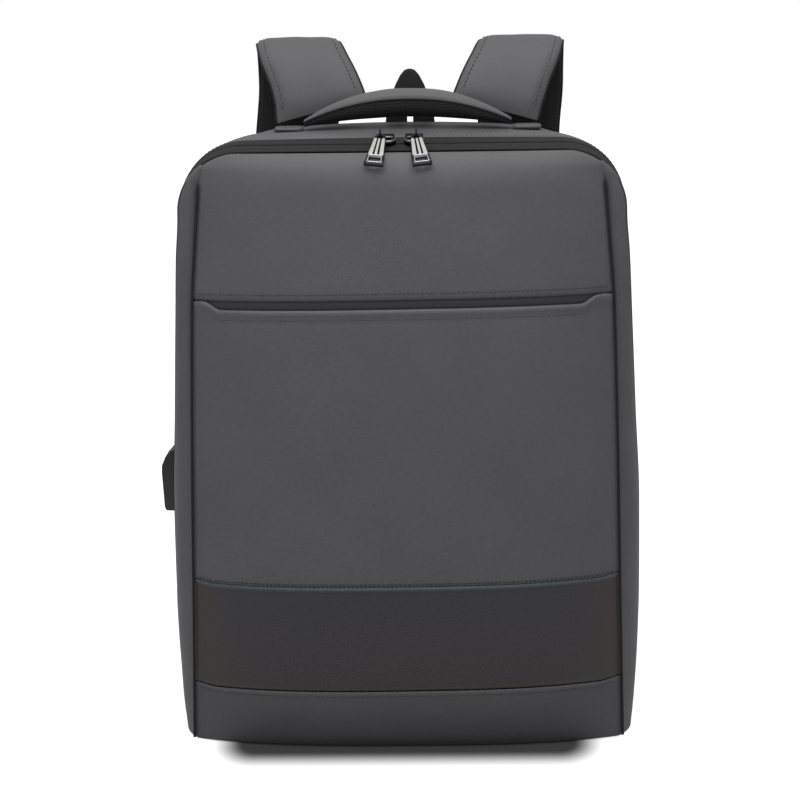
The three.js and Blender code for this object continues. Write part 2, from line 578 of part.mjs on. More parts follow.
// ---- charging port on the left side panel ----
{
  const x0 = -(HALF_W * taper(173)) - 1.6; // reference plane just outside the side panel
  const prof = [[x0 + 6, 196.4], [x0, 196.4], [x0 - 4.4, 194.6], [x0 - 8.4, 190.2], [x0 - 11, 184.2], [x0 - 11.2, 179], [x0 - 9.8, 153.6], [x0 - 8.6, 151], [x0, 150.6], [x0 + 6, 150.6]];
  // the back of the housing follows the side panel
  const zs = [97, 168, 230, 250];
  const grid = (t) => [-10, ...rearStations.map((st) => st.f)].map((f) => {
    const st = f < 0 ? { f: -0.4, d: 14 } : { f, d: 14 + 74 * f };
    return inset(zs.map((z) => [halfAt(st.d) * taper(z), z]), t).map(([x, z], i) => [-x, rearY(st, zs[i]), z]);
  });
  let housing = cut(plateXZ(prof, -19, 3), slab(grid(-0.35), grid(20)));
  housing = cut(housing, box(x0 - 7.9, x0 - 1.9, -14.6, -1.4, 146, 169.5));
  const screw = (z, r, xa, xb) => new THREE.CylinderGeometry(r, r, xb - xa, 10).rotateZ(Math.PI / 2).translate((xa + xb) / 2, -8, z);
  housing = cut(housing, screw(176, 1.3, x0 - 6.5, x0 + 8), screw(186, 1.3, x0 - 4.5, x0 + 8));
  add("usb_housing", housing, BLACK, 0.45);
  add("usb_socket_shell", cut(box(x0 - 7.6, x0 - 2.2, -14.3, -1.7, 151.6, 169.2), box(x0 - 7.1, x0 - 2.7, -13.8, -2.2, 146, 167.5)), METAL, 0.3, 1);
  add("usb_socket_tongue", box(x0 - 4.7, x0 - 3.0, -13.2, -2.8, 153.5, 167.2), 0x22262c, 0.5);
  const inner = x0 + 10.4;
  add("usb_back_plate", cut(box(inner, inner + 1.6, -19, 3, 152, 194), screw(176, 1.7, inner - 2, inner + 4), screw(186, 1.7, inner - 2, inner + 4)), BLACK, 0.5);
  for (const [n, z, reach] of [["usb_screw_lower", 176, 6], ["usb_screw_upper", 186, 4]])
    add(n, join(screw(z, 1.0, x0 - reach, inner + 2.2), screw(z, 2.6, inner + 1.9, inner + 3.3)), METAL, 0.35, 1);
}

export default group;
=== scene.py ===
import math
import bpy
import bmesh
import numpy as np
from mathutils import Matrix, Vector, noise


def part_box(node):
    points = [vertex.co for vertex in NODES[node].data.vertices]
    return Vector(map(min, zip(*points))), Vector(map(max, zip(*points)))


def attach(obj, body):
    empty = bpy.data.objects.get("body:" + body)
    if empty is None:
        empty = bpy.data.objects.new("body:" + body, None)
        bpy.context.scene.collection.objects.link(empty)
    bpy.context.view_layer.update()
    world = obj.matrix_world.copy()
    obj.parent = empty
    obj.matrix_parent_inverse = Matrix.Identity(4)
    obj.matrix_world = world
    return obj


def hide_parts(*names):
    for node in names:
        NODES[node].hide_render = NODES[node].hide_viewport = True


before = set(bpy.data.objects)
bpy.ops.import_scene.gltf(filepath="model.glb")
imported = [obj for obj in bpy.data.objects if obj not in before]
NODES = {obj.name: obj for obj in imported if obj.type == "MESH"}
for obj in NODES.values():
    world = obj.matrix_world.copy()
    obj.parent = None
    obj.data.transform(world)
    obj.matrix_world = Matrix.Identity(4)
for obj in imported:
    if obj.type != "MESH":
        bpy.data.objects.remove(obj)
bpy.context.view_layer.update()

MM = 0.001
Y_SHIFT = -1.2

# ---------------------------------------------------------------- materials


class G:
    """A material being built from nodes."""

    def __init__(self, name):
        self.m = bpy.data.materials.new(name)
        self.m.use_nodes = True
        self.t = self.m.node_tree
        self.t.nodes.clear()
        out = self.t.nodes.new("ShaderNodeOutputMaterial")
        self.b = self.t.nodes.new("ShaderNodeBsdfPrincipled")
        self.t.links.new(self.b.outputs[0], out.inputs[0])

    def put(self, where, value):
        if hasattr(value, "is_output"):
            self.t.links.new(value, where)
        else:
            where.default_value = value

    def math(self, op, *args):
        n = self.t.nodes.new("ShaderNodeMath")
        n.operation = op
        for i, a in enumerate(args):
            self.put(n.inputs[i], a)
        return n.outputs[0]

    def coords(self, kind):
        """Three sockets in millimetres: along the cloth, up it, and a spare."""
        sep = self.t.nodes.new("ShaderNodeSeparateXYZ")
        if kind == "cloth":
            a = self.t.nodes.new("ShaderNodeAttribute")
            a.attribute_name = "cloth"
            v = a.outputs["Vector"]
            self.vec = v
        else:
            a = self.t.nodes.new("ShaderNodeTexCoord")
            s = self.t.nodes.new("ShaderNodeVectorMath")
            s.operation = "SCALE"
            self.t.links.new(a.outputs["Object"], s.inputs[0])
            s.inputs["Scale"].default_value = 1000.0
            v = s.outputs[0]
            self.vec = v
        self.t.links.new(v, sep.inputs[0])
        order = {"cloth": "XYZ", "xz": "XZY", "yz": "YZX", "xy": "XYZ"}[kind]
        return [sep.outputs[c] for c in order]

    def combine(self, x, y, z=0.0):
        n = self.t.nodes.new("ShaderNodeCombineXYZ")
        for i, a in enumerate((x, y, z)):
            self.put(n.inputs[i], a)
        return n.outputs[0]

    def noise(self, vec, scale, detail=2.0, rough=0.5):
        n = self.t.nodes.new("ShaderNodeTexNoise")
        self.put(n.inputs["Vector"], vec)
        n.inputs["Scale"].default_value = scale
        n.inputs["Detail"].default_value = detail
        n.inputs["Roughness"].default_value = rough
        return n.outputs[0]

    def range(self, v, a, b, c, d):
        n = self.t.nodes.new("ShaderNodeMapRange")
        self.put(n.inputs[0], v)
        for i, x in enumerate((a, b, c, d)):
            self.put(n.inputs[i + 1], x)
        return n.outputs[0]

    def mix(self, fac, a, b, kind="MIX"):
        n = self.t.nodes.new("ShaderNodeMix")
        n.data_type = "RGBA"
        n.blend_type = kind
        self.put(n.inputs[0], fac)
        self.put(n.inputs[6], a)
        self.put(n.inputs[7], b)
        return n.outputs[2]

    def grey(self, v):
        n = self.t.nodes.new("ShaderNodeCombineColor")
        for i in range(3):
            self.put(n.inputs[i], v)
        return n.outputs[0]

    def tint(self, colour, k):
        """A colour times a grey factor socket."""
        return self.mix(1.0, (*colour, 1.0), self.grey(k), "MULTIPLY")

    def bump(self, height, distance, strength=1.0, normal=None):
        n = self.t.nodes.new("ShaderNodeBump")
        n.inputs["Strength"].default_value = strength
        n.inputs["Distance"].default_value = distance
        self.put(n.inputs["Height"], height)
        if normal is not None:
            self.put(n.inputs["Normal"], normal)
        return n.outputs[0]

    def done(self, color, rough, normal=None, **uniform):
        self.put(self.b.inputs["Base Color"], color)
        self.put(self.b.inputs["Roughness"], rough)
        if normal is not None:
            self.put(self.b.inputs["Normal"], normal)
        for k, v in uniform.items():
            self.b.inputs[k.replace("_", " ")].default_value = v
        return self.m


def twill(name, colour, kind="cloth", pitch=1.25, rough=0.55, contrast=0.3, sheen=0.06, depth=0.00006):
    """Heathered twill: fine diagonal ribs, yarn segments, a fleck of lighter and darker yarns and slow wear."""
    g = G(name)
    s, t, _ = g.coords(kind)
    k = 2 * math.pi / (pitch * math.sqrt(2))
    diag = g.math("SINE", g.math("MULTIPLY", g.math("SUBTRACT", s, t), k))
    yarn = g.math("SINE", g.math("MULTIPLY", g.math("ADD", s, t), 2 * math.pi / 0.95))
    rib = g.range(diag, -1.0, 1.0, 0.0, 1.0)
    seg = g.range(yarn, -1.0, 1.0, 0.0, 1.0)
    warp = g.noise(g.combine(g.math("MULTIPLY", s, 1.1), g.math("MULTIPLY", t, 0.22)), 1.0, 2.0)
    weft = g.noise(g.combine(g.math("MULTIPLY", s, 0.2), g.math("MULTIPLY", t, 1.2), 7.0), 1.0, 2.0)
    fleck = g.math("ADD", warp, weft)
    slow = g.noise(g.vec, 0.018, 3.0)
    f1 = g.range(fleck, 0.7, 1.3, 1.0 - 0.34 * contrast, 1.0 + 0.36 * contrast)
    f2 = g.range(rib, 0.0, 1.0, 1.0 - 0.22 * contrast, 1.0 + 0.16 * contrast)
    f3 = g.range(slow, 0.3, 0.7, 0.95, 1.05)
    col = g.tint(colour, g.math("MULTIPLY", g.math("MULTIPLY", f1, f2), f3))
    height = g.math("ADD", g.math("MULTIPLY", rib, 0.7), g.math("MULTIPLY", seg, 0.3))
    return g.done(
        col,
        g.range(fleck, 0.7, 1.3, rough - 0.07, rough + 0.1),
        g.bump(height, depth, 0.8),
        Sheen_Weight=sheen,
        Sheen_Roughness=0.45,
        Specular_IOR_Level=0.4,
    )


def air_mesh(name, kind="cloth", cell=2.1, colour=(0.02, 0.02, 0.02)):
    """Black spacer mesh: a honeycomb of open cells, with painted shade inside the cells."""
    g = G(name)
    s, t, _ = g.coords(kind)
    k = 4 * math.pi / (math.sqrt(3) * cell)
    parts = []
    for ang in (0, 60, 120):
        a = math.radians(ang)
        d = g.math("ADD", g.math("MULTIPLY", s, k * math.cos(a)), g.math("MULTIPLY", t, k * math.sin(a)))
        parts.append(g.math("COSINE", d))
    cells = g.math("ADD", g.math("ADD", parts[0], parts[1]), parts[2])  # -1.5 .. 3
    wall = g.range(cells, 0.1, 1.3, 1.0, 0.0)
    fuzz = g.noise(g.vec, 2.2, 2.0)
    # painted shade: the open cells are much darker than their walls
    col = g.tint(colour, g.math("MULTIPLY", g.range(wall, 0.0, 1.0, 0.12, 1.25), g.range(fuzz, 0.3, 0.7, 0.8, 1.25)))
    return g.done(col, g.range(fuzz, 0.3, 0.7, 0.6, 0.85), g.bump(wall, 0.0006, 1.0), Sheen_Weight=0.03, Specular_IOR_Level=0.25)


def webbing(name, kind="cloth", colour=(0.022, 0.022, 0.022), rib=1.7):
    """Woven tape: chevron ribs along its length."""
    g = G(name)
    s, t, _ = g.coords(kind)
    zig = g.math("ABSOLUTE", g.math("SINE", g.math("MULTIPLY", s, math.pi / (2.2 * rib))))
    ph = g.math("ADD", g.math("MULTIPLY", t, 2 * math.pi / (0.7 * rib)), g.math("MULTIPLY", zig, 3.0))
    r = g.range(g.math("SINE", ph), -1.0, 1.0, 0.0, 1.0)
    row = g.range(g.math("SINE", g.math("MULTIPLY", s, 2 * math.pi / rib)), -1.0, 1.0, 0.0, 1.0)
    n = g.noise(g.vec, 1.3, 2.0)
    h = g.math("ADD", g.math("MULTIPLY", r, 0.6), g.math("MULTIPLY", row, 0.4))
    col = g.tint(colour, g.math("MULTIPLY", g.range(h, 0.0, 1.0, 0.55, 1.35), g.range(n, 0.3, 0.7, 0.85, 1.15)))
    return g.done(col, g.range(n, 0.3, 0.7, 0.62, 0.82), g.bump(h, 0.0002, 0.9), Sheen_Weight=0.02, Specular_IOR_Level=0.25)


def band_cloth(name):
    """Dark coated cloth whose iridescent sheen is painted into its colour: purple-brown low on the band to bluish at
    its top, red and olive at its ends, an olive line at its lower edge, and a painted teal highlight along its upper
    fold.
    """
    g = G(name)
    s, t, _ = g.coords("cloth")
    diag = g.math("SINE", g.math("MULTIPLY", g.math("SUBTRACT", s, t), 2 * math.pi / (1.5 * math.sqrt(2))))
    rib = g.range(diag, -1.0, 1.0, 0.0, 1.0)
    fleck = g.noise(g.combine(g.math("MULTIPLY", s, 0.5), g.math("MULTIPLY", t, 1.1)), 1.0, 3.0)
    drift = g.noise(g.vec, 0.012, 2.0)
    # painted iridescent sheen: the tint shifts from purple-brown low on the band to bluish at its top
    up = g.math("ADD", t, g.range(drift, 0.3, 0.7, -9.0, 9.0))
    base = g.mix(g.range(up, 0.0, 74.0, 0.0, 1.0), (0.034, 0.026, 0.029, 1.0), (0.027, 0.027, 0.037, 1.0))
    # painted iridescent sheen: red and olive towards the band's ends
    ends_sheen = g.range(g.math("ABSOLUTE", s), 118.0, 152.0, 0.0, 1.0)
    base = g.mix(ends_sheen, base, (0.040, 0.031, 0.026, 1.0))
    # painted highlight: a teal line along the band's upper fold
    lip_highlight = g.range(t, 70.2, 72.6, 0.0, 1.0)
    base = g.mix(lip_highlight, base, (0.038, 0.062, 0.078, 1.0))
    # painted iridescent sheen: an olive line along the lower edge
    low = g.range(t, 2.6, 0.6, 0.0, 1.0)
    base = g.mix(low, base, (0.045, 0.044, 0.028, 1.0))
    k = g.math("MULTIPLY", g.range(rib, 0.0, 1.0, 0.84, 1.12), g.range(fleck, 0.3, 0.7, 0.8, 1.2))
    col = g.mix(1.0, base, g.grey(k), "MULTIPLY")
    return g.done(
        col,
        g.range(fleck, 0.3, 0.7, 0.42, 0.55),
        g.bump(rib, 0.00005, 0.7),
        Sheen_Weight=0.03,
        Specular_IOR_Level=0.4,
        Coat_Weight=0.05,
        Coat_Roughness=0.35,
    )


def plain_weave(name, colour, kind="cloth", pitch=0.8):
    g = G(name)
    s, t, _ = g.coords(kind)
    a = g.math("SINE", g.math("MULTIPLY", s, 2 * math.pi / pitch))
    b = g.math("SINE", g.math("MULTIPLY", t, 2 * math.pi / pitch))
    w = g.range(g.math("MULTIPLY", a, b), -1.0, 1.0, 0.0, 1.0)
    n = g.noise(g.vec, 0.06, 3.0)
    f = g.noise(g.vec, 0.9, 2.0)
    col = g.tint(colour, g.math("MULTIPLY", g.range(w, 0.0, 1.0, 0.82, 1.15), g.math("MULTIPLY", g.range(n, 0.3, 0.7, 0.92, 1.08), g.range(f, 0.3, 0.7, 0.9, 1.1))))
    return g.done(col, g.range(f, 0.3, 0.7, 0.55, 0.75), g.bump(w, 0.0001, 0.7), Sheen_Weight=0.1)


def polished(name, colour=(0.33, 0.33, 0.34), rough=0.14):
    g = G(name)
    g.coords("xz")
    n = g.noise(g.vec, 0.7, 3.0)
    fine = g.noise(g.vec, 6.0, 2.0)
    col = g.tint(colour, g.range(n, 0.3, 0.7, 0.88, 1.1))
    return g.done(col, g.range(fine, 0.3, 0.7, rough - 0.03, rough + 0.08), g.bump(fine, 0.00001, 0.5), Metallic=1.0)


def plastic(name, colour=(0.018, 0.018, 0.019), rough=0.36):
    g = G(name)
    g.coords("xz")
    n = g.noise(g.vec, 0.25, 2.0)
    fine = g.noise(g.vec, 5.0, 2.0)
    col = g.tint(colour, g.range(n, 0.3, 0.7, 0.92, 1.1))
    return g.done(col, g.range(n, 0.3, 0.7, rough - 0.05, rough + 0.06), g.bump(fine, 0.00002, 0.5), Specular_IOR_Level=0.5)


def thread(name, colour):
    g = G(name)
    g.coords("xz")
    n = g.noise(g.vec, 3.0, 2.0)
    col = g.tint(colour, g.range(n, 0.3, 0.7, 0.8, 1.25))
    return g.done(col, g.range(n, 0.3, 0.7, 0.5, 0.7), g.bump(n, 0.00005, 0.6))


GREY = (0.0755, 0.0735, 0.0810)
M = {
    "shell": twill("satin_twill", GREY),
    # painted shade: a darker copy of the shell cloth for the lower front panel and the base, which get less light
    "shell_shaded": twill("satin_twill_painted_shade", (0.060, 0.058, 0.064)),
    "band": band_cloth("coated_band"),
    "lining": plain_weave("lining_weave", (0.075, 0.077, 0.083)),
    "divider": plain_weave("divider_weave", (0.055, 0.056, 0.060)),
    "mesh": air_mesh("air_mesh", "cloth", 2.1, (0.013, 0.013, 0.013)),
    "mesh_pad": air_mesh("air_mesh_pad", "xz", 3.0, (0.026, 0.026, 0.027)),
    "back": plain_weave("back_cloth", (0.022, 0.022, 0.023), pitch=1.1),
    "web": webbing("webbing", "cloth", (0.012, 0.012, 0.012)),
    "tape": webbing("zip_tape", "cloth", (0.0085, 0.0085, 0.0082), 1.2),
    "coil": plastic("coil", (0.016, 0.016, 0.016), 0.3),
    "metal": polished("dark_polished"),
    "metal_black": polished("black_nickel", (0.022, 0.022, 0.024), 0.14),
    # painted highlight: a light copy of the tabs' dark metal for the faces round their rib
    "rib_highlight": polished("rib_painted_highlight", (0.60, 0.585, 0.555), 0.16),
    # painted highlight: the sliders' rim is a lighter copy of the black nickel of their bodies
    "ring_highlight": polished("ring_painted_highlight", (0.13, 0.13, 0.135), 0.12),
    "thread_tone": thread("thread_tone", (0.070, 0.068, 0.074)),
    # painted highlight: a light copy of the tabs' dark metal for the window rim
    "rim_highlight": polished("rim_painted_highlight", (0.55, 0.55, 0.56), 0.12),
    "steel": polished("socket_steel", (0.5, 0.5, 0.5), 0.22),
    "plastic": plastic("black_plastic"),
    "thread": thread("thread_grey", (0.045, 0.045, 0.047)),
    "thread_black": thread("thread_black", (0.012, 0.012, 0.012)),
    "binding": webbing("binding_tape", "cloth", (0.012, 0.012, 0.012), 1.4),
}

# ---------------------------------------------------------------- mesh helpers


def make(name, verts, faces, mats, body, cad=(), fmat=None, cloth=None, sharp=None, local=None, smooth=True):
    """A closed mesh in millimetres, in part.mjs's own coordinates, as a piece riding on a body."""
    v = np.asarray(verts, float).reshape(-1, 3)
    if local is not None:
        v = v @ local[:3, :3].T + local[:3, 3]
    else:
        v = v + (0, Y_SHIFT, 0)
    me = bpy.data.meshes.new(name)
    me.from_pydata((v * MM).tolist(), [], [list(map(int, f)) for f in faces])
    for m in mats:
        me.materials.append(M[m])
    if fmat is not None:
        me.polygons.foreach_set("material_index", np.asarray(fmat, np.int32))
    c = me.attributes.new("cloth", "FLOAT_VECTOR", "POINT")
    c.data.foreach_set("vector", np.asarray(v if cloth is None else cloth, np.float32).ravel())
    bm = bmesh.new()
    bm.from_mesh(me)
    bmesh.ops.recalc_face_normals(bm, faces=bm.faces)
    bm.to_mesh(me)
    bm.free()
    me.polygons.foreach_set("use_smooth", np.full(len(me.polygons), smooth))
    if sharp:
        me.set_sharp_from_angle(angle=math.radians(sharp))
    o = bpy.data.objects.new(name, me)
    bpy.context.scene.collection.objects.link(o)
    if cad:
        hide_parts(*cad)
    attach(o, body)
    return o


def lengths(grid):
    """Arc length across from the middle column, and up the middle column."""
    n, m, _ = grid.shape
    s = np.zeros((n, m))
    d = np.linalg.norm(np.diff(grid, axis=1), axis=2)
    mid = m // 2
    s[:, mid + 1 :] = np.cumsum(d[:, mid:], axis=1)
    s[:, :mid] = -np.cumsum(d[:, :mid][:, ::-1], axis=1)[:, ::-1]
    t = np.concatenate([[0], np.cumsum(np.linalg.norm(np.diff(grid[:, mid], axis=0), axis=1))])
    return s, np.repeat(t[:, None], m, axis=1)


def slab(name, outer, inner, mats, body, cad=(), rim=3, round_=1.0, cloth=None):
    """Cloth of real thickness between two grids, with its edge turned in a half round."""
    outer, inner = np.asarray(outer, float), np.asarray(inner, float)
    n, m, _ = outer.shape
    s, t = lengths(outer) if cloth is None else cloth
    faces, fmat = [], []
    off = n * m
    for i in range(n - 1):
        for j in range(m - 1):
            a, b, c, d = i * m + j, (i + 1) * m + j, (i + 1) * m + j + 1, i * m + j + 1
            faces.append((a, b, c, d))
            fmat.append(0)
            faces.append((off + a, off + d, off + c, off + b))
            fmat.append(len(mats) - 1)
    loop = [(0, j) for j in range(m)] + [(i, m - 1) for i in range(1, n)] + [(n - 1, j) for j in range(m - 2, -1, -1)] + [(i, 0) for i in range(n - 2, 0, -1)]
    verts = [outer.reshape(-1, 3), inner.reshape(-1, 3)]
    cl = [np.stack([s, t, np.zeros_like(s)], 2).reshape(-1, 3)] * 2
    o = np.array([outer[i, j] for i, j in loop])
    q = np.array([inner[i, j] for i, j in loop])
    inside = np.array([outer[min(max(i, 1), n - 2), min(max(j, 1), m - 2)] for i, j in loop])
    lc = np.array([(s[i, j], t[i, j], 0) for i, j in loop])
    mid, half = (o + q) / 2, (o - q) / 2
    r = np.linalg.norm(half, axis=1, keepdims=True)
    nrm = half / np.maximum(r, 1e-6)
    out = np.cross(np.roll(o, -1, 0) - np.roll(o, 1, 0), nrm)
    out /= np.maximum(np.linalg.norm(out, axis=1, keepdims=True), 1e-6)
    out *= 1.0 if (out * (o - inside)).sum() > 0 else -1.0
    out = 0.5 * out + 0.25 * np.roll(out, 1, 0) + 0.25 * np.roll(out, -1, 0)
    out -= nrm * (out * nrm).sum(1, keepdims=True)
    k = len(loop)
    prev = [i * m + j for i, j in loop]
    base = 2 * off
    for a in range(1, rim + 1):
        th = math.pi * a / (rim + 1)
        verts.append(mid + nrm * r * math.cos(th) + out * r * math.sin(th) * round_)
        cl.append(lc + (0, 0, 0))
        cur = list(range(base, base + k))
        for e in range(k):
            f = (e + 1) % k
            faces.append((prev[e], prev[f], cur[f], cur[e]))
            fmat.append(0)
        prev, base = cur, base + k
    last = [off + i * m + j for i, j in loop]
    for e in range(k):
        f = (e + 1) % k
        faces.append((prev[e], prev[f], last[f], last[e]))
        fmat.append(0)
    return make(name, np.concatenate(verts), faces, mats, body, cad, fmat, np.concatenate(cl))


def loft(name, rings, mats, body, cad=(), closed=False, sharp=None, local=None, ref=None):
    """A tube through rings of points, with its ends capped unless it closes on itself."""
    rings = np.asarray(rings, float)
    n, m, _ = rings.shape
    faces = []
    for i in range(n if closed else n - 1):
        for j in range(m):
            a, b = i * m + j, i * m + (j + 1) % m
            c, d = ((i + 1) % n) * m + (j + 1) % m, ((i + 1) % n) * m + j
            faces.append((a, b, c, d))
    if not closed:
        faces += [tuple(range(m)), tuple(range((n - 1) * m, n * m))[::-1]]
    s = np.concatenate([np.zeros((n, 1)), np.cumsum(np.linalg.norm(np.diff(rings, axis=1), axis=2), axis=1)], axis=1)
    cen = rings.mean(1)
    t = np.concatenate([[0], np.cumsum(np.linalg.norm(np.diff(cen, axis=0), axis=1))])
    cl = np.stack([s - s.mean(1, keepdims=True), np.repeat(t[:, None], m, 1), np.zeros((n, m))], 2)
    return make(name, rings.reshape(-1, 3), faces, mats, body, cad, None, cl.reshape(-1, 3), sharp, local)


def frames(path, up=None):
    p = np.asarray(path, float)
    d = np.gradient(p, axis=0)
    d /= np.linalg.norm(d, axis=1, keepdims=True)
    ref = np.array([0, 0, 1.0]) if up is None else np.asarray(up, float)
    a = np.cross(d, np.broadcast_to(ref, d.shape))
    bad = np.linalg.norm(a, axis=1) < 1e-3
    if bad.any():
        a[bad] = np.cross(d[bad], np.array([1.0, 0, 0]))
    a /= np.linalg.norm(a, axis=1, keepdims=True)
    return d, a, np.cross(a, d)


def tube(name, path, r, mats, body, cad=(), sides=10, closed=False, up=None, local=None, flat=1.0):
    p = np.asarray(path, float)
    if closed:
        d = np.roll(p, -1, 0) - np.roll(p, 1, 0)
        d /= np.linalg.norm(d, axis=1, keepdims=True)
        ref = np.array([0, 0, 1.0]) if up is None else np.asarray(up, float)
        a = np.cross(d, np.broadcast_to(ref, d.shape))
        a /= np.linalg.norm(a, axis=1, keepdims=True)
        b = np.cross(a, d)
    else:
        d, a, b = frames(p, up)
    rr = np.broadcast_to(np.asarray(r, float), (len(p),))
    rings = [[p[i] + rr[i] * (a[i] * math.cos(2 * math.pi * k / sides) + flat * b[i] * math.sin(2 * math.pi * k / sides)) for k in range(sides)] for i in range(len(p))]
    return loft(name, rings, mats, body, cad, closed, None, local)


def resample(path, step):
    p = np.asarray(path, float)
    l = np.concatenate([[0], np.cumsum(np.linalg.norm(np.diff(p, axis=0), axis=1))])
    n = max(2, int(round(l[-1] / step)) + 1)
    q = np.linspace(0, l[-1], n)
    return np.stack([np.interp(q, l, p[:, i]) for i in range(3)], 1)


def stitches(name, rows, mat, body, pitch=3.1, length=2.2, r=0.3, lift=0.1, local=None):
    """Rows of sewn stitches. A row is (path, outward normal at each point, or one normal)."""
    verts, faces = [], []
    for path, nrm in rows:
        path = np.asarray(path, float)
        nrm = np.broadcast_to(np.asarray(nrm, float), path.shape)
        l = np.concatenate([[0], np.cumsum(np.linalg.norm(np.diff(path, axis=0), axis=1))])
        at = lambda q: np.array([np.interp(q, l, path[:, i]) for i in range(3)])
        an = lambda q: np.array([np.interp(q, l, nrm[:, i]) for i in range(3)])
        q = pitch / 2
        while q < l[-1] - pitch / 2:
            a, b, n = at(q - length / 2), at(q + length / 2), an(q)
            n = n / np.linalg.norm(n)
            d = b - a
            w = np.linalg.norm(d)
            d /= w
            side = np.cross(d, n)
            base = len(verts)
            prof = [(0.0, 0.25, -0.30), (0.18, 0.85, -0.02), (0.5, 1.0, 0.12), (0.82, 0.85, -0.02), (1.0, 0.25, -0.30)]
            for u, k, h in prof:
                c = a + d * w * u + n * (lift + h * r * 2)
                for e in range(6):
                    g = 2 * math.pi * e / 6
                    verts.append(c + r * k * (side * math.cos(g) + n * math.sin(g)))
            for i in range(4):
                for e in range(6):
                    f = (e + 1) % 6
                    faces.append((base + i * 6 + e, base + i * 6 + f, base + (i + 1) * 6 + f, base + (i + 1) * 6 + e))
            faces.append(tuple(base + e for e in range(6))[::-1])
            faces.append(tuple(base + 24 + e for e in range(6)))
            q += pitch
    return make(name, np.array(verts), faces, [mat], body, local=local)


def curve(pts):
    """A smooth line through the same points as part.mjs's table."""
    x = np.array([p[0] for p in pts], float)
    y = np.array([p[1] for p in pts], float)
    h, d = np.diff(x), np.diff(y) / np.diff(x)
    m = np.zeros(len(x))
    m[0], m[-1] = d[0], d[-1]
    for i in range(1, len(x) - 1):
        if d[i - 1] * d[i] > 0:
            w1, w2 = 2 * h[i] + h[i - 1], h[i] + 2 * h[i - 1]
            m[i] = (w1 + w2) / (w1 / d[i - 1] + w2 / d[i])

    def f(v):
        v = np.clip(np.asarray(v, float), x[0], x[-1])
        i = np.clip(np.searchsorted(x, v, side="right") - 1, 0, len(x) - 2)
        t = (v - x[i]) / h[i]
        return (
            (2 * t**3 - 3 * t**2 + 1) * y[i] + (t**3 - 2 * t**2 + t) * h[i] * m[i] + (-2 * t**3 + 3 * t**2) * y[i + 1] + (t**3 - t**2) * h[i] * m[i + 1]
        )

    return f


def step(v, a, b):
    t = np.clip((np.asarray(v, float) - a) / (b - a), 0, 1)
    return t * t * (3 - 2 * t)


# ---------------------------------------------------------------- shape of the bag, as in part.mjs
HALF_W, CORNER_R, WALL, PANEL, BACK_Y = 164.2, 42.0, 3.0, 2.6, 30.0
TOP_REAR, TOP_ZIP, FRONT_TOP = 424.5, 416.4, 412.2
POCKET_TOP, POCKET_MOUTH, BAND_TOP, BAND_LOW = 306.5, 313.2, 115.0, 41.0
taper = curve([[0, 0.945], [25, 0.974], [60, 0.993], [97, 1], [168, 0.997], [230, 0.979], [290, 0.963], [340, 0.948], [371, 0.933], [430, 0.931]])
half_at = curve([[-14, HALF_W + 0.2], [0, HALF_W], [14, HALF_W - 0.4], [30, HALF_W - 0.9], [60, 158.5], [90, 152.5]])
top_at = curve([[-14, 412.6], [0, TOP_ZIP], [14, 419.8], [50, 423.1], [88, TOP_REAR]])
a0 = curve([[0, 151.3], [99, 149.5], [171, 148.4], [242, 147], [311, 145], [353, 142], [391, 139], [412, 138]])
bulge = curve([[0, 20.5], [30, 24], [110, 25], [200, 23], [305, 19], [380, 14.5], [413, 13]])
zip_y = lambda z: -58 + 0.07 * (411 - z)
seam_y = lambda z: -82 + 0.025 * z


corner_r = curve([[-14, CORNER_R], [0, CORNER_R + 0.01], [14, 44], [50, 52], [88, 60]])
arch_at = curve([[0, 0], [14, 1], [50, 3], [88, 4.5]])


def arch(d, x):
    return float(arch_at(d)) * min(1.3, (x / 110) ** 2)


def shell_x(d, z):
    """Half width of the shell at a height below the split between side and top."""
    R, W = float(corner_r(d)), float(half_at(d))
    cz = float(top_at(d)) - R
    return W * float(taper(z)) if z <= cz else W * float(taper(cz)) - R + math.sqrt(R * R - (z - cz) ** 2)


def outline(d, z0, nside=90, narc=18, ntop=40, low=None):
    """Points (x, z) up the right side, round the corner, along the top and down the left side. With low, it starts on the corner at that height."""
    T, W, R = float(top_at(d)), float(half_at(d)), float(corner_r(d))
    cz = T - R
    cx = W * float(taper(cz)) - R
    pts, a0_ = [], 0.0
    if low is None:
        pts = [[W * float(taper(z)), z] for z in np.linspace(z0, cz, nside, endpoint=False)]
    else:
        a0_ = math.asin(max(0.0, low - cz) / R)
    for a in np.linspace(a0_, math.pi / 2, narc):
        x = cx + R * math.cos(a)
        pts.append([x, cz + R * math.sin(a) - arch(d, x) * math.sin(a) * (1 if low is None else float(step(a, a0_, a0_ + 0.25)))])
    for k in range(1, ntop + 1):
        x = cx * (1 - k / ntop)
        pts.append([x, T - arch(d, x)])
    pts = np.array(pts)
    return np.concatenate([pts, pts[:-1][::-1] * (-1, 1)])


def inset(pts, t):
    a, b = np.roll(pts, 1, 0), np.roll(pts, -1, 0)
    a[0], b[-1] = pts[0], pts[-1]
    d = b - a
    n = np.stack([d[:, 1], -d[:, 0]], 1)
    n /= np.linalg.norm(n, axis=1, keepdims=True)
    return pts - n * t


def half_front(z):
    z = np.asarray(z, float)
    T, R = FRONT_TOP, CORNER_R
    top = float(half_at(-14)) * float(taper(T - R)) - R
    arc = np.where(z > T - R, top + np.sqrt(np.maximum(0, R * R - (np.maximum(z, T - R) - T + R) ** 2)), 999)
    return np.minimum(a0(z), arc)


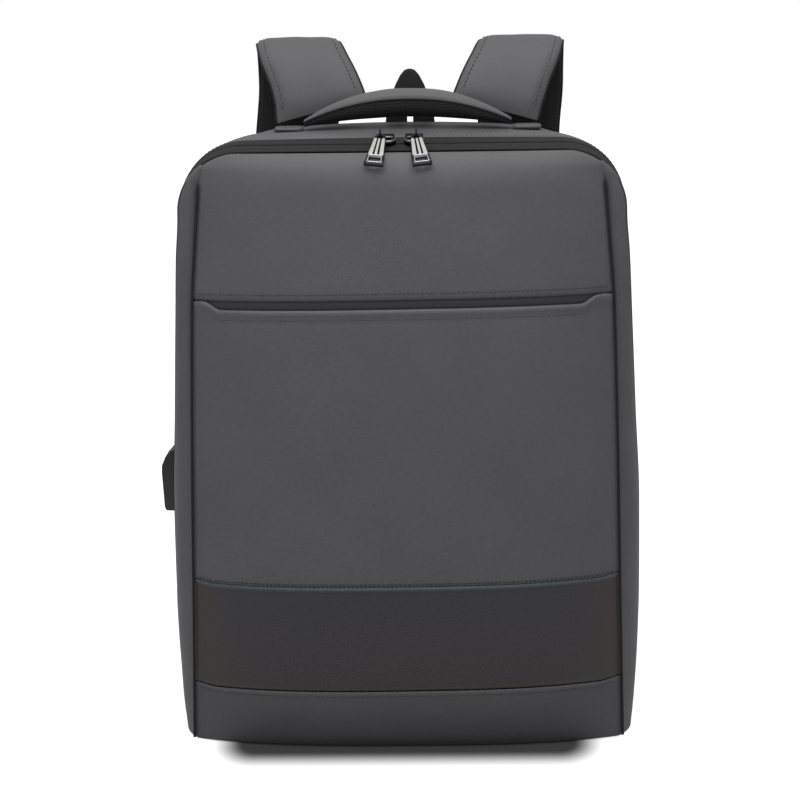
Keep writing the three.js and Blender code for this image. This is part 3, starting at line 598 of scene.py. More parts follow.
def front_y(u, z, off=0.0):
    z = np.asarray(z, float)
    zt = FRONT_TOP - 25.6
    hi = np.sqrt(np.maximum(0, 1 - ((np.maximum(z, zt) - zt) / 26) ** 2))
    lo = 0.86 + 0.14 * np.sqrt(np.maximum(0, 1 - ((10 - np.minimum(z, 10)) / 10) ** 2))
    roll = np.where(z > zt, hi, np.where(z < 10, lo, 1.0))
    return seam_y(z) - bulge(z) * (1 - np.abs(u) ** 3) * roll + off


def rel(x, z, a=1.0):
    """Slow unevenness of stuffed cloth, millimetres."""
    return a * (0.55 * noise.noise((x / 62, z / 47, 2.3)) + 0.30 * noise.noise((x / 24, z / 31, 5.1)) + 0.10 * noise.noise((x / 9, z / 11, 9.7)))


U = np.concatenate([np.linspace(0, 0.8, 46, endpoint=False), np.linspace(0.8, 0.97, 20, endpoint=False), np.linspace(0.97, 1.0, 6)])
U = np.concatenate([-U[1:][::-1], U])


def lean(x, z):
    """The front's sewn lines climb a little towards the right, and curl up at their ends."""
    return 0.0085 * x * float(step(z, 8, 40)) * float(1 - step(z, 335, 385))


def front_grid(zs, off, shrink=1.6, umax=1.0, curl=None, edges=None, wave=0.5, dip=0.9):
    """Rows up the front. off is the depth, curl(x, z) moves a row's ends, and the cloth dips into its sewn edges."""
    rows = []
    for z in zs:
        row = []
        for u in U:
            if abs(u) > umax + 1e-9:
                continue
            x = u * (float(half_front(z)) - shrink)
            zz = z + lean(x, z) + (curl(x, z) if curl else 0.0)
            y = float(front_y(u, z))
            k = 0.0
            if edges:
                for e in edges:
                    k = max(k, math.exp(-abs(z - e) / 1.5))
            side = (1 - abs(u)) * float(half_front(z))
            k = max(k, math.exp(-side / 1.6) * 0.8)
            w = rel(x, z, wave) * min(1.0, side / 12)
            pucker = 0.16 * math.sin(x * 0.95 + 2.2 * noise.noise((x / 21, z / 50, 1.0))) * max([math.exp(-abs(z - e) / 6) for e in edges] + [0]) if edges else 0.0
            o = off(u, z) if callable(off) else off
            row.append((x, y + o + dip * k - w + pucker, zz))
        rows.append(row)
    return np.array(rows)


def rows(a, b, pitch=3.0, fine=(True, True)):
    n = max(3, int((b - a) / pitch))
    z = list(np.linspace(a, b, n + 1))
    if fine[0]:
        z = [a, a + 0.5, a + 1.1, a + 1.9] + [v for v in z if v > a + 2.6]
    if fine[1]:
        z = [v for v in z if v < b - 2.6] + [b - 1.9, b - 1.1, b - 0.5, b]
    return z


# ---------------------------------------------------------------- front of the lid
def band_curl(x, z):
    return 2.4 * float(step(abs(x), 134, 150)) * math.exp(-(((z - 78) / 60) ** 4))


def pocket_lip(x, z):
    """The pocket's mouth closes at its two ends, and the panel's lower edge curls with the band."""
    return 5.9 * float(step(abs(x + 1.5), 123, 136)) * float(step(z, 292, POCKET_TOP)) + 2.4 * float(step(abs(x), 134, 150)) * float(1 - step(z, BAND_TOP, 150))


def lower_curl(x, z):
    return 2.2 * float(step(abs(x), 134, 150)) * float(step(z, 14, 40))


zu = rows(POCKET_MOUTH + 1.1, FRONT_TOP - 0.9, 3.0, (True, False))
zu = [z for z in zu if z < 384] + list(FRONT_TOP - 0.9 - (FRONT_TOP - 0.9 - 384) * (1 - np.sin(np.linspace(0, math.pi / 2, 20))) )
g_up = front_grid(zu, 0.0, edges=[POCKET_MOUTH + 0.9])
g_up_in = front_grid(zu, PANEL, edges=[POCKET_MOUTH + 0.9], shrink=2.6)
g_up_in[:, :, 2] -= np.array([0 if z < 384 else 2.6 * (z - 384) / 28 for z in zu])[:, None]
slab("upper_front", g_up, g_up_in, ["shell", "lining"], "lid", ["front_upper_panel"])

zp = rows(BAND_TOP + 1.0, POCKET_TOP - 1.0)
g_po = front_grid(zp, 0.0, edges=[BAND_TOP + 0.6], curl=pocket_lip)
# the folded hem swells at the mouth
for i, z in enumerate(zp):
    g_po[i, :, 1] -= 0.75 * math.exp(-(((z - (POCKET_TOP - 2.2)) / 2.2) ** 2))
    g_po[i, :, 1] += 0.45 * math.exp(-(((z - (POCKET_TOP - 6.2)) / 1.3) ** 2))
g_po_in = front_grid(zp, PANEL, edges=[], curl=pocket_lip, shrink=2.1, dip=0)
slab("pocket_front", g_po, g_po_in, ["shell", "lining"], "lid", ["front_pocket_panel"])

zb = rows(BAND_LOW + 1.2, BAND_TOP - 0.9)
g_ba = front_grid(zb, 0.3, edges=[BAND_LOW + 0.4], curl=band_curl, wave=0.35)
for i, z in enumerate(zb):
    g_ba[i, :, 1] -= 0.7 * math.exp(-(((z - (BAND_TOP - 2.0)) / 1.3) ** 2))
g_ba_in = front_grid(zb, PANEL, edges=[], curl=band_curl, shrink=2.1, dip=0)
slab("sheen_band", g_ba, g_ba_in, ["band", "lining"], "lid", ["iridescent_band"])

zl = [1.6, 2.4, 3.6, 5.2, 7.2, 9.5] + [z for z in rows(12, BAND_LOW - 1.2, 3.0, (False, True))]
g_lo = front_grid(zl, 0.0, edges=[BAND_LOW - 0.6], curl=lower_curl)
g_lo_in = front_grid(zl, PANEL, edges=[], curl=lower_curl, shrink=2.1, dip=0)
# the lower front panel wears the darker copy of the shell cloth, painted shade
slab("lower_front", g_lo, g_lo_in, ["shell_shaded", "lining"], "lid", ["front_lower_panel"])

# facing strip seen in the mouth: it hangs behind the upper panel and falls back into the pocket
zf = [285, 290, 296, 301, 304, 306.5, 308.5, 310.5, 312.5, 314.2, 316]
depth = curve([[284, 13.2], [296, 9.5], [303, 4.6], [307, 2.6], [311, 2.2], [316, 3.0]])
g_fa = front_grid(zf, lambda u, z: float(depth(z)), umax=0.93, wave=0.2, dip=0)
g_fb = front_grid(zf, lambda u, z: float(depth(z)) + 1.1, umax=0.93, wave=0.2, dip=0)
slab("mouth_facing", g_fa, g_fb, ["band"], "lid", ["pocket_mouth_facing"])


def dish(u, z):
    e = min(1, (0.96 - abs(u)) / 0.13) * min(1, (z - (BAND_TOP + 3.4)) / 18)
    e = max(0.0, e)
    return PANEL + 0.6 + 11.4 * (e * e * (3 - 2 * e)) + 0.5 * noise.noise((u * 4, z / 40, 3))


zd = list(np.linspace(BAND_TOP + 3.4, POCKET_MOUTH - 0.4, 46))
slab("pocket_lining_cloth", front_grid(zd, dish, umax=0.955, shrink=2.1, wave=0.3, dip=0), front_grid(zd, lambda u, z: dish(u, z) + 1.2, umax=0.955, shrink=2.1, wave=0.3, dip=0), ["lining"], "lid", ["pocket_lining"])

# stitch rows on the front
def front_row(z, off=-0.15, xmax=0.985, curl=None, y_extra=0.0):
    p = []
    for u in np.linspace(-xmax, xmax, 140):
        x = u * (float(half_front(z)) - 1.6)
        p.append((x, float(front_y(u, z)) + off - rel(x, z, 0.5) + y_extra, z + lean(x, z) + (curl(x, z) if curl else 0)))
    return np.array(p)


NF = np.array([0, -1.0, 0.05])
stitches("stitches_pocket_hem", [(front_row(POCKET_TOP - 6.2, 0.3, 0.90, pocket_lip), NF)], "thread", "lid")
stitches("stitches_upper_edge", [(front_row(POCKET_MOUTH + 4.6, -0.05, 0.985), NF)], "thread", "lid")
stitches("stitches_band_top", [(front_row(BAND_TOP + 2.1, 0.0, 0.985, band_curl), NF)], "thread_black", "lid", 3.0, 2.1, 0.36)
stitches("stitches_band_low", [(front_row(BAND_LOW - 3.0, -0.05, 0.985, lower_curl), NF)], "thread", "lid")

# side gussets of the lid and the piping in the seam
def tape_x(z):
    c = float(top_at(-14)) - CORNER_R
    x = float(half_at(-14)) * float(taper(c)) - CORNER_R
    return x + math.sqrt(max(0, CORNER_R**2 - (z - c) ** 2)) if z > c else float(half_at(-14)) * float(taper(z))


zg = np.concatenate([np.linspace(1.6, 12, 5), np.linspace(15, 388, 116), np.linspace(390.5, 403.4, 9)])
for side, sg in (("left", -1), ("right", 1)):
    outer, inner = [], []
    for z in zg:
        x0, y1 = min(float(a0(z)), tape_x(z) - 0.9), zip_y(z) - 12.9
        seam_k = float(step(z, 388, 398))
        y0 = min(seam_y(z) + 3.1 - 3.0 * seam_k, y1 - 0.6)
        x0 -= 0.8 * seam_k
        x1 = tape_x(z)
        ro, ri = [], []
        l = math.hypot(x1 - x0, y1 - y0)
        nx, ny = (y1 - y0) / l, -(x1 - x0) / l
        for t in np.linspace(0.03, 0.985, 15):
            w = math.sin(math.pi * t) * 0.12 * l * (1 - 0.3 * seam_k)
            e = min(t, 1 - t) * l
            dip = 0.7 * math.exp(-e / 1.0) * (1 - seam_k)
            wv = 0.5 * noise.noise((t * 2.0 + sg * 7, z / 33, 4)) * min(1, e / 4)
            px, py = x0 + (x1 - x0) * t + nx * (w - dip + wv), y0 + (y1 - y0) * t + ny * (w - dip + wv)
            ro.append((sg * px, py, z))
            ri.append((sg * (px - nx * 2.0), py - ny * 2.0, z))
        outer.append(ro)
        inner.append(ri)
    slab(f"gusset_{side}", outer, inner, ["shell", "lining"], "lid", [f"front_gusset_{side}"])
    path = [(sg * (float(a0(z)) - 0.3), seam_y(z) - 0.2, z) for z in np.linspace(1.5, 391, 120)]
    tube(f"piping_{side}", path, 0.95, ["binding"], "lid", [f"seam_piping_{side}"], up=(0, 1, 0))
    st = [(sg * (x0 - 0.0), y, z) for x0, y, z in [(float(a0(z)) + 4.2, seam_y(z) + 5.3 - 2.4, z) for z in np.linspace(6, 380, 60)]]

# ---------------------------------------------------------------- zip
def strip(name, d0, d1, t0, t1, mats, body, cad, cols=7, z0=8.0):
    ds = np.linspace(d0, d1, cols)
    outer, inner = [], []
    for d in ds:
        pts = outline(d, z0)
        a, b = inset(pts, t0), inset(pts, t1)
        outer.append([(x, zip_y(z) + d, z) for x, z in a])
        inner.append([(x, zip_y(z) + d, z) for x, z in b])
    outer, inner = np.array(outer).transpose(1, 0, 2), np.array(inner).transpose(1, 0, 2)
    return slab(name, outer, inner, mats, body, cad, rim=2, round_=0.5)


strip("tape_front", -12.4, -1.0, 0.0, 0.9, ["tape"], "lid", ["zip_tape_front"])
strip("tape_rear", 1.0, 13.3, 0.0, 0.9, ["tape"], "bag", ["zip_tape_rear"])


def coil(name, s, body, cad):
    pts = outline(0.0, 10.0, 160, 40, 120)
    p3 = np.array([(x, zip_y(z), z) for x, z in pts])
    inn = inset(pts, 1.0)
    nrm2 = pts - inn
    l = np.concatenate([[0], np.cumsum(np.linalg.norm(np.diff(p3, axis=0), axis=1))])
    verts, faces = [], []
    pitch = 1.7
    q = 1.0 + (0.85 if s > 0 else 0)
    while q < l[-1] - 1:
        c = np.array([np.interp(q, l, p3[:, i]) for i in range(3)])
        n2 = np.array([np.interp(q, l, nrm2[:, i]) for i in range(2)])
        n = np.array([n2[0], 0, n2[1]])
        n /= np.linalg.norm(n)
        d = np.array([0, s, 0.0])
        side = np.cross(d, n)
        base = len(verts)
        for a, w, h in ((0.35, 0.30, 0.45), (0.9, 0.52, 0.75), (2.4, 0.5, 0.8), (3.3, 0.3, 0.5)):
            m = c + d * a - n * 2.1
            for g in range(6):
                f = 2 * math.pi * g / 6
                verts.append(m + side * w * math.cos(f) + n * h * math.sin(f))
        for i in range(3):
            for g in range(6):
                f = (g + 1) % 6
                faces.append((base + i * 6 + g, base + i * 6 + f, base + (i + 1) * 6 + f, base + (i + 1) * 6 + g))
        faces.append(tuple(base + g for g in range(6))[::-1])
        faces.append(tuple(base + 18 + g for g in range(6)))
        q += pitch
    return make(name, np.array(verts), faces, ["coil"], body, cad)


coil("coil_front", -1, "lid", ["zip_chain_front"])
coil("coil_rear", 1, "bag", ["zip_chain_rear"])

# ---------------------------------------------------------------- rear shell
def rear_y(f, z):
    y0 = zip_y(z) + 13.6 + 0.4
    return y0 + (BACK_Y - y0) * f


FS = np.concatenate([[0.012, 0.025, 0.045], np.linspace(0.08, 0.92, 18), [0.955, 0.975, 0.988]])


def dent(x, y, z, f):
    e = min(f, 1 - f) * 80
    return 0.8 * math.exp(-e / 1.3) - 0.9 * noise.noise((x / 60 + 3, y / 30, z / 55)) * min(1, e / 14)


for side, sg in (("left", -1), ("right", 1)):
    outer, inner = [], []
    for z in np.concatenate([[1.8, 3, 5, 8], np.linspace(12, 368, 100), [370.5, 372.0]]):
        ro, ri = [], []
        for f in FS:
            d = 14 + 74 * f
            W = W2 = shell_x(d, z)
            y = rear_y(f, z)
            k = dent(sg * W, y, z, f) + 0.6 * math.exp(-(373 - z) / 1.6)
            if side == "left":
                k *= 1 - math.exp(-(((y + 8) / 20) ** 4 + ((z - 173) / 34) ** 4))
            ro.append((sg * (W - k), y, z))
            ri.append((sg * (W2 - 2.9), y, z))
        outer.append(ro)
        inner.append(ri)
    slab(f"side_{side}", outer, inner, ["shell", "lining"], "bag", [f"side_panel_{side}"])

outer, inner = [], []
for f in FS:
    d = 14 + 74 * f
    pts = outline(d, 374.2, narc=26, ntop=46, low=374.2)
    b = inset(pts, 2.9)
    ro, ri = [], []
    for (x, z), (x2, z2), (nx, nz) in zip(pts, b, (pts - b) / 2.9):
        y = rear_y(f, z)
        k = dent(x, y, z, f)
        ro.append((x - nx * k, y, z - nz * k))
        ri.append((x2, y, z2))
    outer.append(ro)
    inner.append(ri)
g_top = np.array(outer).transpose(1, 0, 2)
slab("top_gusset", g_top, np.array(inner).transpose(1, 0, 2), ["shell", "lining"], "bag", ["top_panel"])
# edge stitching beside the zip, on the top gusset and on both sides
nn = outline(17.0, 374.2, narc=26, ntop=46, low=376.0)
nb = inset(nn, 1.0)
row = np.array([(x, rear_y(0.045, z) + 0.3, z) for x, z in nn])
stitches("stitches_top_gusset", [(row + np.stack([(nn - nb)[:, 0], 0 * nn[:, 0], (nn - nb)[:, 1]], 1) * (-0.15), np.stack([(nn - nb)[:, 0], 0 * nn[:, 0], (nn - nb)[:, 1]], 1))], "thread", "bag")
for side, sg in (("left", -1), ("right", 1)):
    zz = np.linspace(8, 368, 90)
    p = np.array([(sg * (shell_x(17.3, z) - 0.12), rear_y(0.045, z) + 0.3, z) for z in zz])
    stitches(f"stitches_side_{side}", [(p, (sg, 0, 0))], "thread", "bag")

# base: a stiff panel with a rounded rim
def base_loop(k):
    pts = []
    for x in np.linspace(-147.6 + k, 147.6 - k, 60):
        pts.append((x, float(front_y(x / 151.2, 3.0, PANEL + 1.4)) + k))
    for a in np.linspace(0, math.pi / 2, 8):
        pts.append((135.6 - k + 4 * math.cos(a), BACK_Y - 5 - k + 4 * math.sin(a)))
    for a in np.linspace(math.pi / 2, math.pi, 8):
        pts.append((-135.6 + k + 4 * math.cos(a), BACK_Y - 5 - k + 4 * math.sin(a)))
    return np.array(pts)


rings = []
for k, z in ((14, 0.25), (5, 0.12), (1.2, 0.1), (0.35, 0.5), (0.0, 1.3), (0.0, 2.4), (0.4, 3.2), (1.3, 3.5), (6, 3.45), (14, 3.4)):
    rings.append([(x, y, z) for x, y in base_loop(k)])
# the base wears the darker copy of the shell cloth, painted shade
loft("base_cloth", rings, ["shell_shaded"], "bag", ["base_panel"])

# ---------------------------------------------------------------- back panel
W = 152.5 - WALL - 0.8
side_pts = [(W * float(taper(z)) - 0.6, z) for z in np.linspace(4.4, 358, 60)]
T, r = TOP_REAR - WALL - 5.2, 55
cx = W * float(taper(T - r)) - r
side_pts += [(cx - 0.6 + r * math.cos(a), T - 0.6 - r + r * math.sin(a)) for a in np.linspace(0.06, math.pi / 2, 20)]
side_pts = np.array(side_pts)
cols = np.linspace(-1, 1, 60)
outer = np.array([[(x * c, BACK_Y - 0.1 - 0.5 * abs(c) ** 10 + 0.35 * noise.noise((x * c / 40, z / 40, 8)) - 0.35, z) for c in cols] for x, z in side_pts])
inner = np.array([[(x * c, BACK_Y - 7.9, z) for c in cols] for x, z in side_pts])
slab("back_cloth", outer, inner, ["back", "lining"], "bag", ["back_panel"], rim=4, round_=0.25)
# bound seam between the back panel and the gussets
bo = inset(outline(88, 3, 90, 24, 30), 1.6)
bind = np.array([(x, BACK_Y - 0.6, z) for x, z in bo])
tube("back_binding", resample(bind, 5), 1.7, ["binding"], "bag", up=(0, 1, 0), sides=12)


def pad(node, name, channels, cap=3.2):
    """A stuffed pad: the CAD solid, remeshed, blown up as cloth, then sewn flat along its channels and its rim."""
    src = NODES[node].data.copy()
    lo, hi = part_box(node)
    cen = (lo + hi) / 2
    o = bpy.data.objects.new(name, src)
    bpy.context.scene.collection.objects.link(o)
    for v in src.vertices:
        v.co.x = cen.x + (v.co.x - cen.x) * 0.975
        v.co.z = cen.z + (v.co.z - cen.z) * 0.975
        v.co.y = lo.y + 0.0007 + (v.co.y - lo.y) * 0.62
    rm = o.modifiers.new("r", "REMESH")
    rm.mode = "VOXEL"
    rm.voxel_size = 0.0042
    rm.use_smooth_shade = True
    dg = bpy.context.evaluated_depsgraph_get()
    me = bpy.data.meshes.new_from_object(o.evaluated_get(dg))
    o.modifiers.clear()
    o.data = me
    n = len(me.vertices)
    rest = np.zeros(n * 3)
    me.vertices.foreach_get("co", rest)
    rest = rest.reshape(-1, 3)
    c = o.modifiers.new("c", "CLOTH")
    st = c.settings
    st.quality = 4
    st.mass = 0.25
    st.tension_stiffness = st.compression_stiffness = 12
    st.shear_stiffness = 6
    st.bending_stiffness = 0.5
    st.use_pressure = True
    st.uniform_pressure_force = 4
    st.effector_weights.gravity = 0
    c.collision_settings.use_collision = False
    c.collision_settings.use_self_collision = False
    c.point_cache.frame_start, c.point_cache.frame_end = 1, 20
    sc = bpy.context.scene
    for f in range(1, 21):
        sc.frame_set(f)
    dg = bpy.context.evaluated_depsgraph_get()
    me2 = bpy.data.meshes.new_from_object(o.evaluated_get(dg))
    o.modifiers.clear()
    co = np.zeros(n * 3)
    me2.vertices.foreach_get("co", co)
    co = co.reshape(-1, 3)
    sc.frame_set(1)
    mv = co - rest
    l = np.linalg.norm(mv, axis=1, keepdims=True)
    co = rest + mv * np.minimum(1, cap * MM / np.maximum(l, 1e-9))
    o.data.vertices.foreach_set("co", co.ravel())
    sub = o.modifiers.new("s", "SUBSURF")
    sub.levels = sub.render_levels = 1
    dg = bpy.context.evaluated_depsgraph_get()
    me3 = bpy.data.meshes.new_from_object(o.evaluated_get(dg))
    o.modifiers.clear()
    o.data = me3
    n = len(me3.vertices)
    co = np.zeros(n * 3)
    me3.vertices.foreach_get("co", co)
    co = co.reshape(-1, 3) * 1000
    # keep the pad on the back panel, and press the channels and the rim in
    y0, y1 = lo.y * 1000 + 0.15, hi.y * 1000
    cx, cz = cen.x * 1000, cen.z * 1000
    hx, hz = (hi.x - lo.x) * 500, (hi.z - lo.z) * 500
    x, y, z = co[:, 0], co[:, 1], co[:, 2]
    fr = np.clip((y - y0) / (y1 - y0), 0, 2)
    qx, qz = hx - np.abs(x - cx), hz - np.abs(z - cz)
    edge = np.minimum(qx, qz)
    corner = np.hypot(np.maximum(0, 24 - qx), np.maximum(0, 24 - qz))
    edge = np.where((qx < 24) & (qz < 24), 24 - corner, edge)
    press = 0.75 * np.exp(-((np.maximum(edge - 6.5, 0) / 2.2) ** 2)) * (edge < 12)
    for kind, at, w in channels:
        d = np.abs((x if kind == "x" else z) - at)
        press = np.maximum(press, 0.7 * np.exp(-((d / w) ** 2)) * (edge > 5))
    top = fr > 0.35
    y = np.where(top, y0 + (y - y0) * (1 - press * 0.62), y)
    co[:, 1] = np.clip(y, y0, y1 + 2.2)
    me3.vertices.foreach_set("co", (co / 1000).ravel())
    me3.materials.clear()
    me3.materials.append(M["mesh_pad"])
    me3.polygons.foreach_set("material_index", np.zeros(len(me3.polygons), np.int32))
    me3.polygons.foreach_set("use_smooth", np.full(len(me3.polygons), True))
    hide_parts(node)
    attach(o, "bag")
    return o


pad("back_pad_left", "pad_left", [("z", 205, 3.2), ("z", 261, 3.2), ("z", 317, 3.2)])
pad("back_pad_right", "pad_right", [("z", 205, 3.2), ("z", 261, 3.2), ("z", 317, 3.2)])
pad("lumbar_pad", "pad_lumbar", [("x", -36, 3.2), ("x", 36, 3.2)])


def round_rect(x0, x1, z0, z1, r, k=8):
    pts = []
    for cx, cz, a in ((x1 - r, z0 + r, -90), (x1 - r, z1 - r, 0), (x0 + r, z1 - r, 90), (x0 + r, z0 + r, 180)):
        for i in range(k + 1):
            t = math.radians(a + 90 * i / k)
            pts.append((cx + r * math.cos(t), cz + r * math.sin(t)))
    return pts


def dense(pts, step_mm):
    p = np.array(pts + [pts[0]], float)
    q = []
    for a, b in zip(p[:-1], p[1:]):
        n = max(1, int(np.linalg.norm(b - a) / step_mm))
        q += [tuple(a + (b - a) * i / n) for i in range(n)]
    return np.array(q)


def plate(name, pts, y0, y1, mats, body, cad=(), r=1.0, crown=0.0, step_mm=4.0, local=None):
    """A flat sewn or moulded piece with rounded edges: an outline in X and Z, between two depths, crowned in its middle."""
    p = dense(pts, step_mm)
    c = p.mean(0)
    rings, n = [], 7
    nrm = np.roll(p, -1, 0) - np.roll(p, 1, 0)
    nrm = np.stack([nrm[:, 1], -nrm[:, 0]], 1)
    nrm /= np.linalg.norm(nrm, axis=1, keepdims=True)
    if ((p + nrm - c) ** 2).sum() < ((p - c) ** 2).sum():
        nrm = -nrm
    prof = [(0.0, -1)] if False else []
    for a in np.linspace(0, math.pi, n):
        prof.append((r * (1 - math.sin(a)), (y0 + y1) / 2 + (y1 - y0) / 2 * -math.cos(a)))
    full = [(0.0, prof[0][0], y0)] + [(None, k, y) for k, y in prof] + [(0.0, prof[-1][0], y1)]
    rings = []
    for f in (0.0, 0.35, 0.7, 0.9):
        q = c + (p - nrm * r - c) * max(f, 0.001)
        rings.append([(x, y0 - crown * (1 - f * f), z) for x, z in q])
    for k, y in prof:
        q = p - nrm * k
        rings.append([(x, y, z) for x, z in q])
    for f in (0.9, 0.7, 0.35, 0.0):
        q = c + (p - nrm * r - c) * max(f, 0.001)
        rings.append([(x, y1 + crown * (1 - f * f), z) for x, z in q])
    o = loft(name, rings, mats, body, cad, local=local)
    me = o.data
    co = np.zeros(len(me.vertices) * 3)
    me.vertices.foreach_get("co", co)
    v = np.array(rings).reshape(-1, 3)
    me.attributes["cloth"].data.foreach_set("vector", np.stack([v[:, 0], v[:, 2], v[:, 1]], 1).astype(np.float32).ravel())
    return o


yoke = round_rect(-104, 104, 384, 416, 7)
plate("yoke_cloth", yoke, BACK_Y + 0.3, BACK_Y + 2.8, ["shell"], "bag", ["shoulder_yoke"], r=1.0, crown=0.2)
yo = dense(round_rect(-101, 101, 387, 413, 5), 3)
stitches("stitches_yoke", [(np.array([(x, BACK_Y + 2.95, z) for x, z in np.concatenate([yo, yo[:1]])]), (0, 1, 0))], "thread", "bag")

# laptop divider with a bound top edge
plate("divider_cloth", round_rect(-141, 141, 4.2, 302, 14), -6, -1.5, ["divider"], "bag", ["laptop_divider"], r=1.4)
tube("divider_binding", [(x, -3.75, z) for x, z in resample(np.array([(-141.0, 0, 250.0), (-141.0, 0, 288), (-139.5, 0, 295), (-135, 0, 300.3), (-127, 0, 302), (127.0, 0, 302), (135, 0, 300.3), (139.5, 0, 295), (141, 0, 288), (141, 0, 250)]), 4)[:, [0, 2]]], 2.75, ["binding"], "bag", up=(0, 1, 0))

# ---------------------------------------------------------------- carry handle and hanging loop
HX, HY, HEND, HLOW, HHIGH, HM = 76.0, -2.0, 423.6, 430.6, 450.5, 3.5


def handle_ring(x, upper, k=22):
    q = min(abs(x) / HX, 1)
    top = HEND + 3.6 + (HHIGH - HEND - 3.6) * (1 - q**2.2)
    low = HEND + (HLOW - HEND) * max(0, 1 - q * q)
    w = 15 * (1 - 0.74 * q**4)
    m = low + (top - low) * 0.66
    pts = []
    for i in range(k + 1):
        a = math.pi * i / k
        e = 0.35 * noise.noise((x / 26, math.cos(a) * 1.2, 1.5 if upper else 6.5))
        if upper:
            h = (top - m - 0.2 + e) * math.sin(a) ** 0.62
            h -= 0.0
            pts.append((HM + x, HY + w * math.cos(a), m + 0.2 + h))
        else:
            h = (m - low - 0.2 - e) * math.sin(a) ** 0.62
            pts.append((HM + x, HY + (w + 0.5 * math.sin(2 * a) ** 2) * math.cos(a), m - 0.2 - h))
    return pts


xs = np.concatenate([[-73, -72.6, -71.6], np.linspace(-70, 70, 60), [71.6, 72.6, 73]])
hc = loft("handle_top", [handle_ring(x, True) for x in xs], ["shell"], "handle", ["handle_cover"], sharp=50)
hm = loft("handle_under", [handle_ring(x, False) for x in xs], ["mesh"], "handle", ["handle_mesh"], sharp=50)
for s_, nm in ((-1, "front"), (1, "rear")):
    p = []
    for x in np.linspace(-72, 72, 60):
        q = abs(x) / HX
        top = HEND + 3.6 + (HHIGH - HEND - 3.6) * (1 - q**2.2)
        low = HEND + (HLOW - HEND) * max(0, 1 - q * q)
        m = low + (top - low) * 0.66
        p.append((HM + x, HY + s_ * 15 * (1 - 0.74 * q**4) * 0.985, m))
    tube(f"handle_seam_{nm}", p, 0.75, ["binding"], "handle", sides=8)
for side, sg in (("left", -1), ("right", 1)):
    pts = [(HM + sg * 74, -6.5), (HM + sg * 77, -8.4), (HM + sg * 91, -8.9), (HM + sg * 94, -7.4), (HM + sg * 94, 7.4), (HM + sg * 91, 8.9), (HM + sg * 77, 8.4), (HM + sg * 74, 6.5)]
    # drawn flat on the top gusset: X, then the depth as Z, turned below
    L = np.eye(4)
    L[:3, :3] = [[1, 0, 0], [0, 0, 1], [0, 1, 0]]
    L[:3, 3] = (0, HY + Y_SHIFT, 0)
    plate(f"tab_{side}", pts, 421.6, 424.2, ["shell"], "bag", [f"handle_tab_{side}"], r=1.0, crown=0.15, step_mm=2.5, local=L)
    rowsx = []
    for yy in (-6.2, 6.2):
        rowsx.append((np.array([(x, HY + yy, 424.3) for x in np.linspace(HM + sg * 77, HM + sg * 91.5, 12)]), (0, 0, 1)))
    for xx in (HM + sg * 77, HM + sg * 91.5):
        rowsx.append((np.array([(xx, HY + y, 424.3) for y in np.linspace(-6.2, 6.2, 12)]), (0, 0, 1)))
    for k in range(5):
        rowsx.append((np.array([(HM + sg * 80 + k * sg * 0.8, HY - 4.6, 424.3), (HM + sg * 80 + k * sg * 0.8, HY + 4.6, 424.3)]), (0, 0, 1)))
    stitches(f"stitches_tab_{side}", rowsx, "thread_tone", "bag", 2.4, 2.0, 0.3)

LX = np.array([0.9, 1, 1])
LO = np.array([4.5, 0, 0])
loop_o = resample(np.array([(-19.2, 0, 423.4), (-17.4, 0, 432), (-11, 0, 450), (-7.0, 0, 457.0), (-3.6, 0, 460.6), (0, 0, 461.5), (3.6, 0, 460.6), (7.0, 0, 457.0), (11, 0, 450), (17.4, 0, 432), (19.2, 0, 423.4)], float), 1.5)
n = len(loop_o)
inn_src = np.array([(-3.0, 0, 423.4), (-3.2, 0, 430), (-4.6, 0, 436), (-4.2, 0, 443), (-2.2, 0, 447.8), (0, 0, 449.2), (2.2, 0, 447.8), (4.2, 0, 443), (4.6, 0, 436), (3.2, 0, 430), (3.0, 0, 423.4)], float)
l = np.linspace(0, 1, len(inn_src))
inn = np.stack([np.interp(np.linspace(0, 1, n), l, inn_src[:, i]) for i in range(3)], 1)
cols = np.linspace(0, 1, 9)
loop_o, inn = loop_o * LX + LO, inn * LX + LO
outer = np.array([[(a * (1 - c) + b * c) + (0, BACK_Y + 5.7 - 1.1 * math.sin(math.pi * min(i, n - 1 - i) / (n - 1)) * c, 0) for c in cols] for i, (a, b) in enumerate(zip(loop_o, inn))])
inner = outer - (0, 1.7, 0)
slab("loop_webbing", outer, inner, ["web"], "hang_loop", ["hanging_loop"], rim=2)
st = []
for k in range(4):
    st.append((np.array([(4.5 + x * 0.9, BACK_Y + 5.9, 426 + 1.1 * k) for x in np.linspace(5, 16, 6)]), (0, 1, 0)))
    st.append((np.array([(4.5 - x * 0.9, BACK_Y + 5.9, 426 + 1.1 * k) for x in np.linspace(5, 16, 6)]), (0, 1, 0)))
stitches("stitches_loop", st, "thread_black", "hang_loop", 2.4, 2.0, 0.3)

# ---------------------------------------------------------------- shoulder straps
PATH = np.array([
    [62.5, 39.5, 432], [66.3, 42.8, 445], [72.6, 49, 460.5], [79.2, 58, 473.8], [81.7, 68, 479], [82, 79, 475], [82, 87.5, 462], [82, 92, 440],
    [82.5, 94, 405], [84.5, 93.5, 350], [90, 90, 290], [97, 81, 225], [103, 68, 168], [107.5, 56.5, 128]], float)


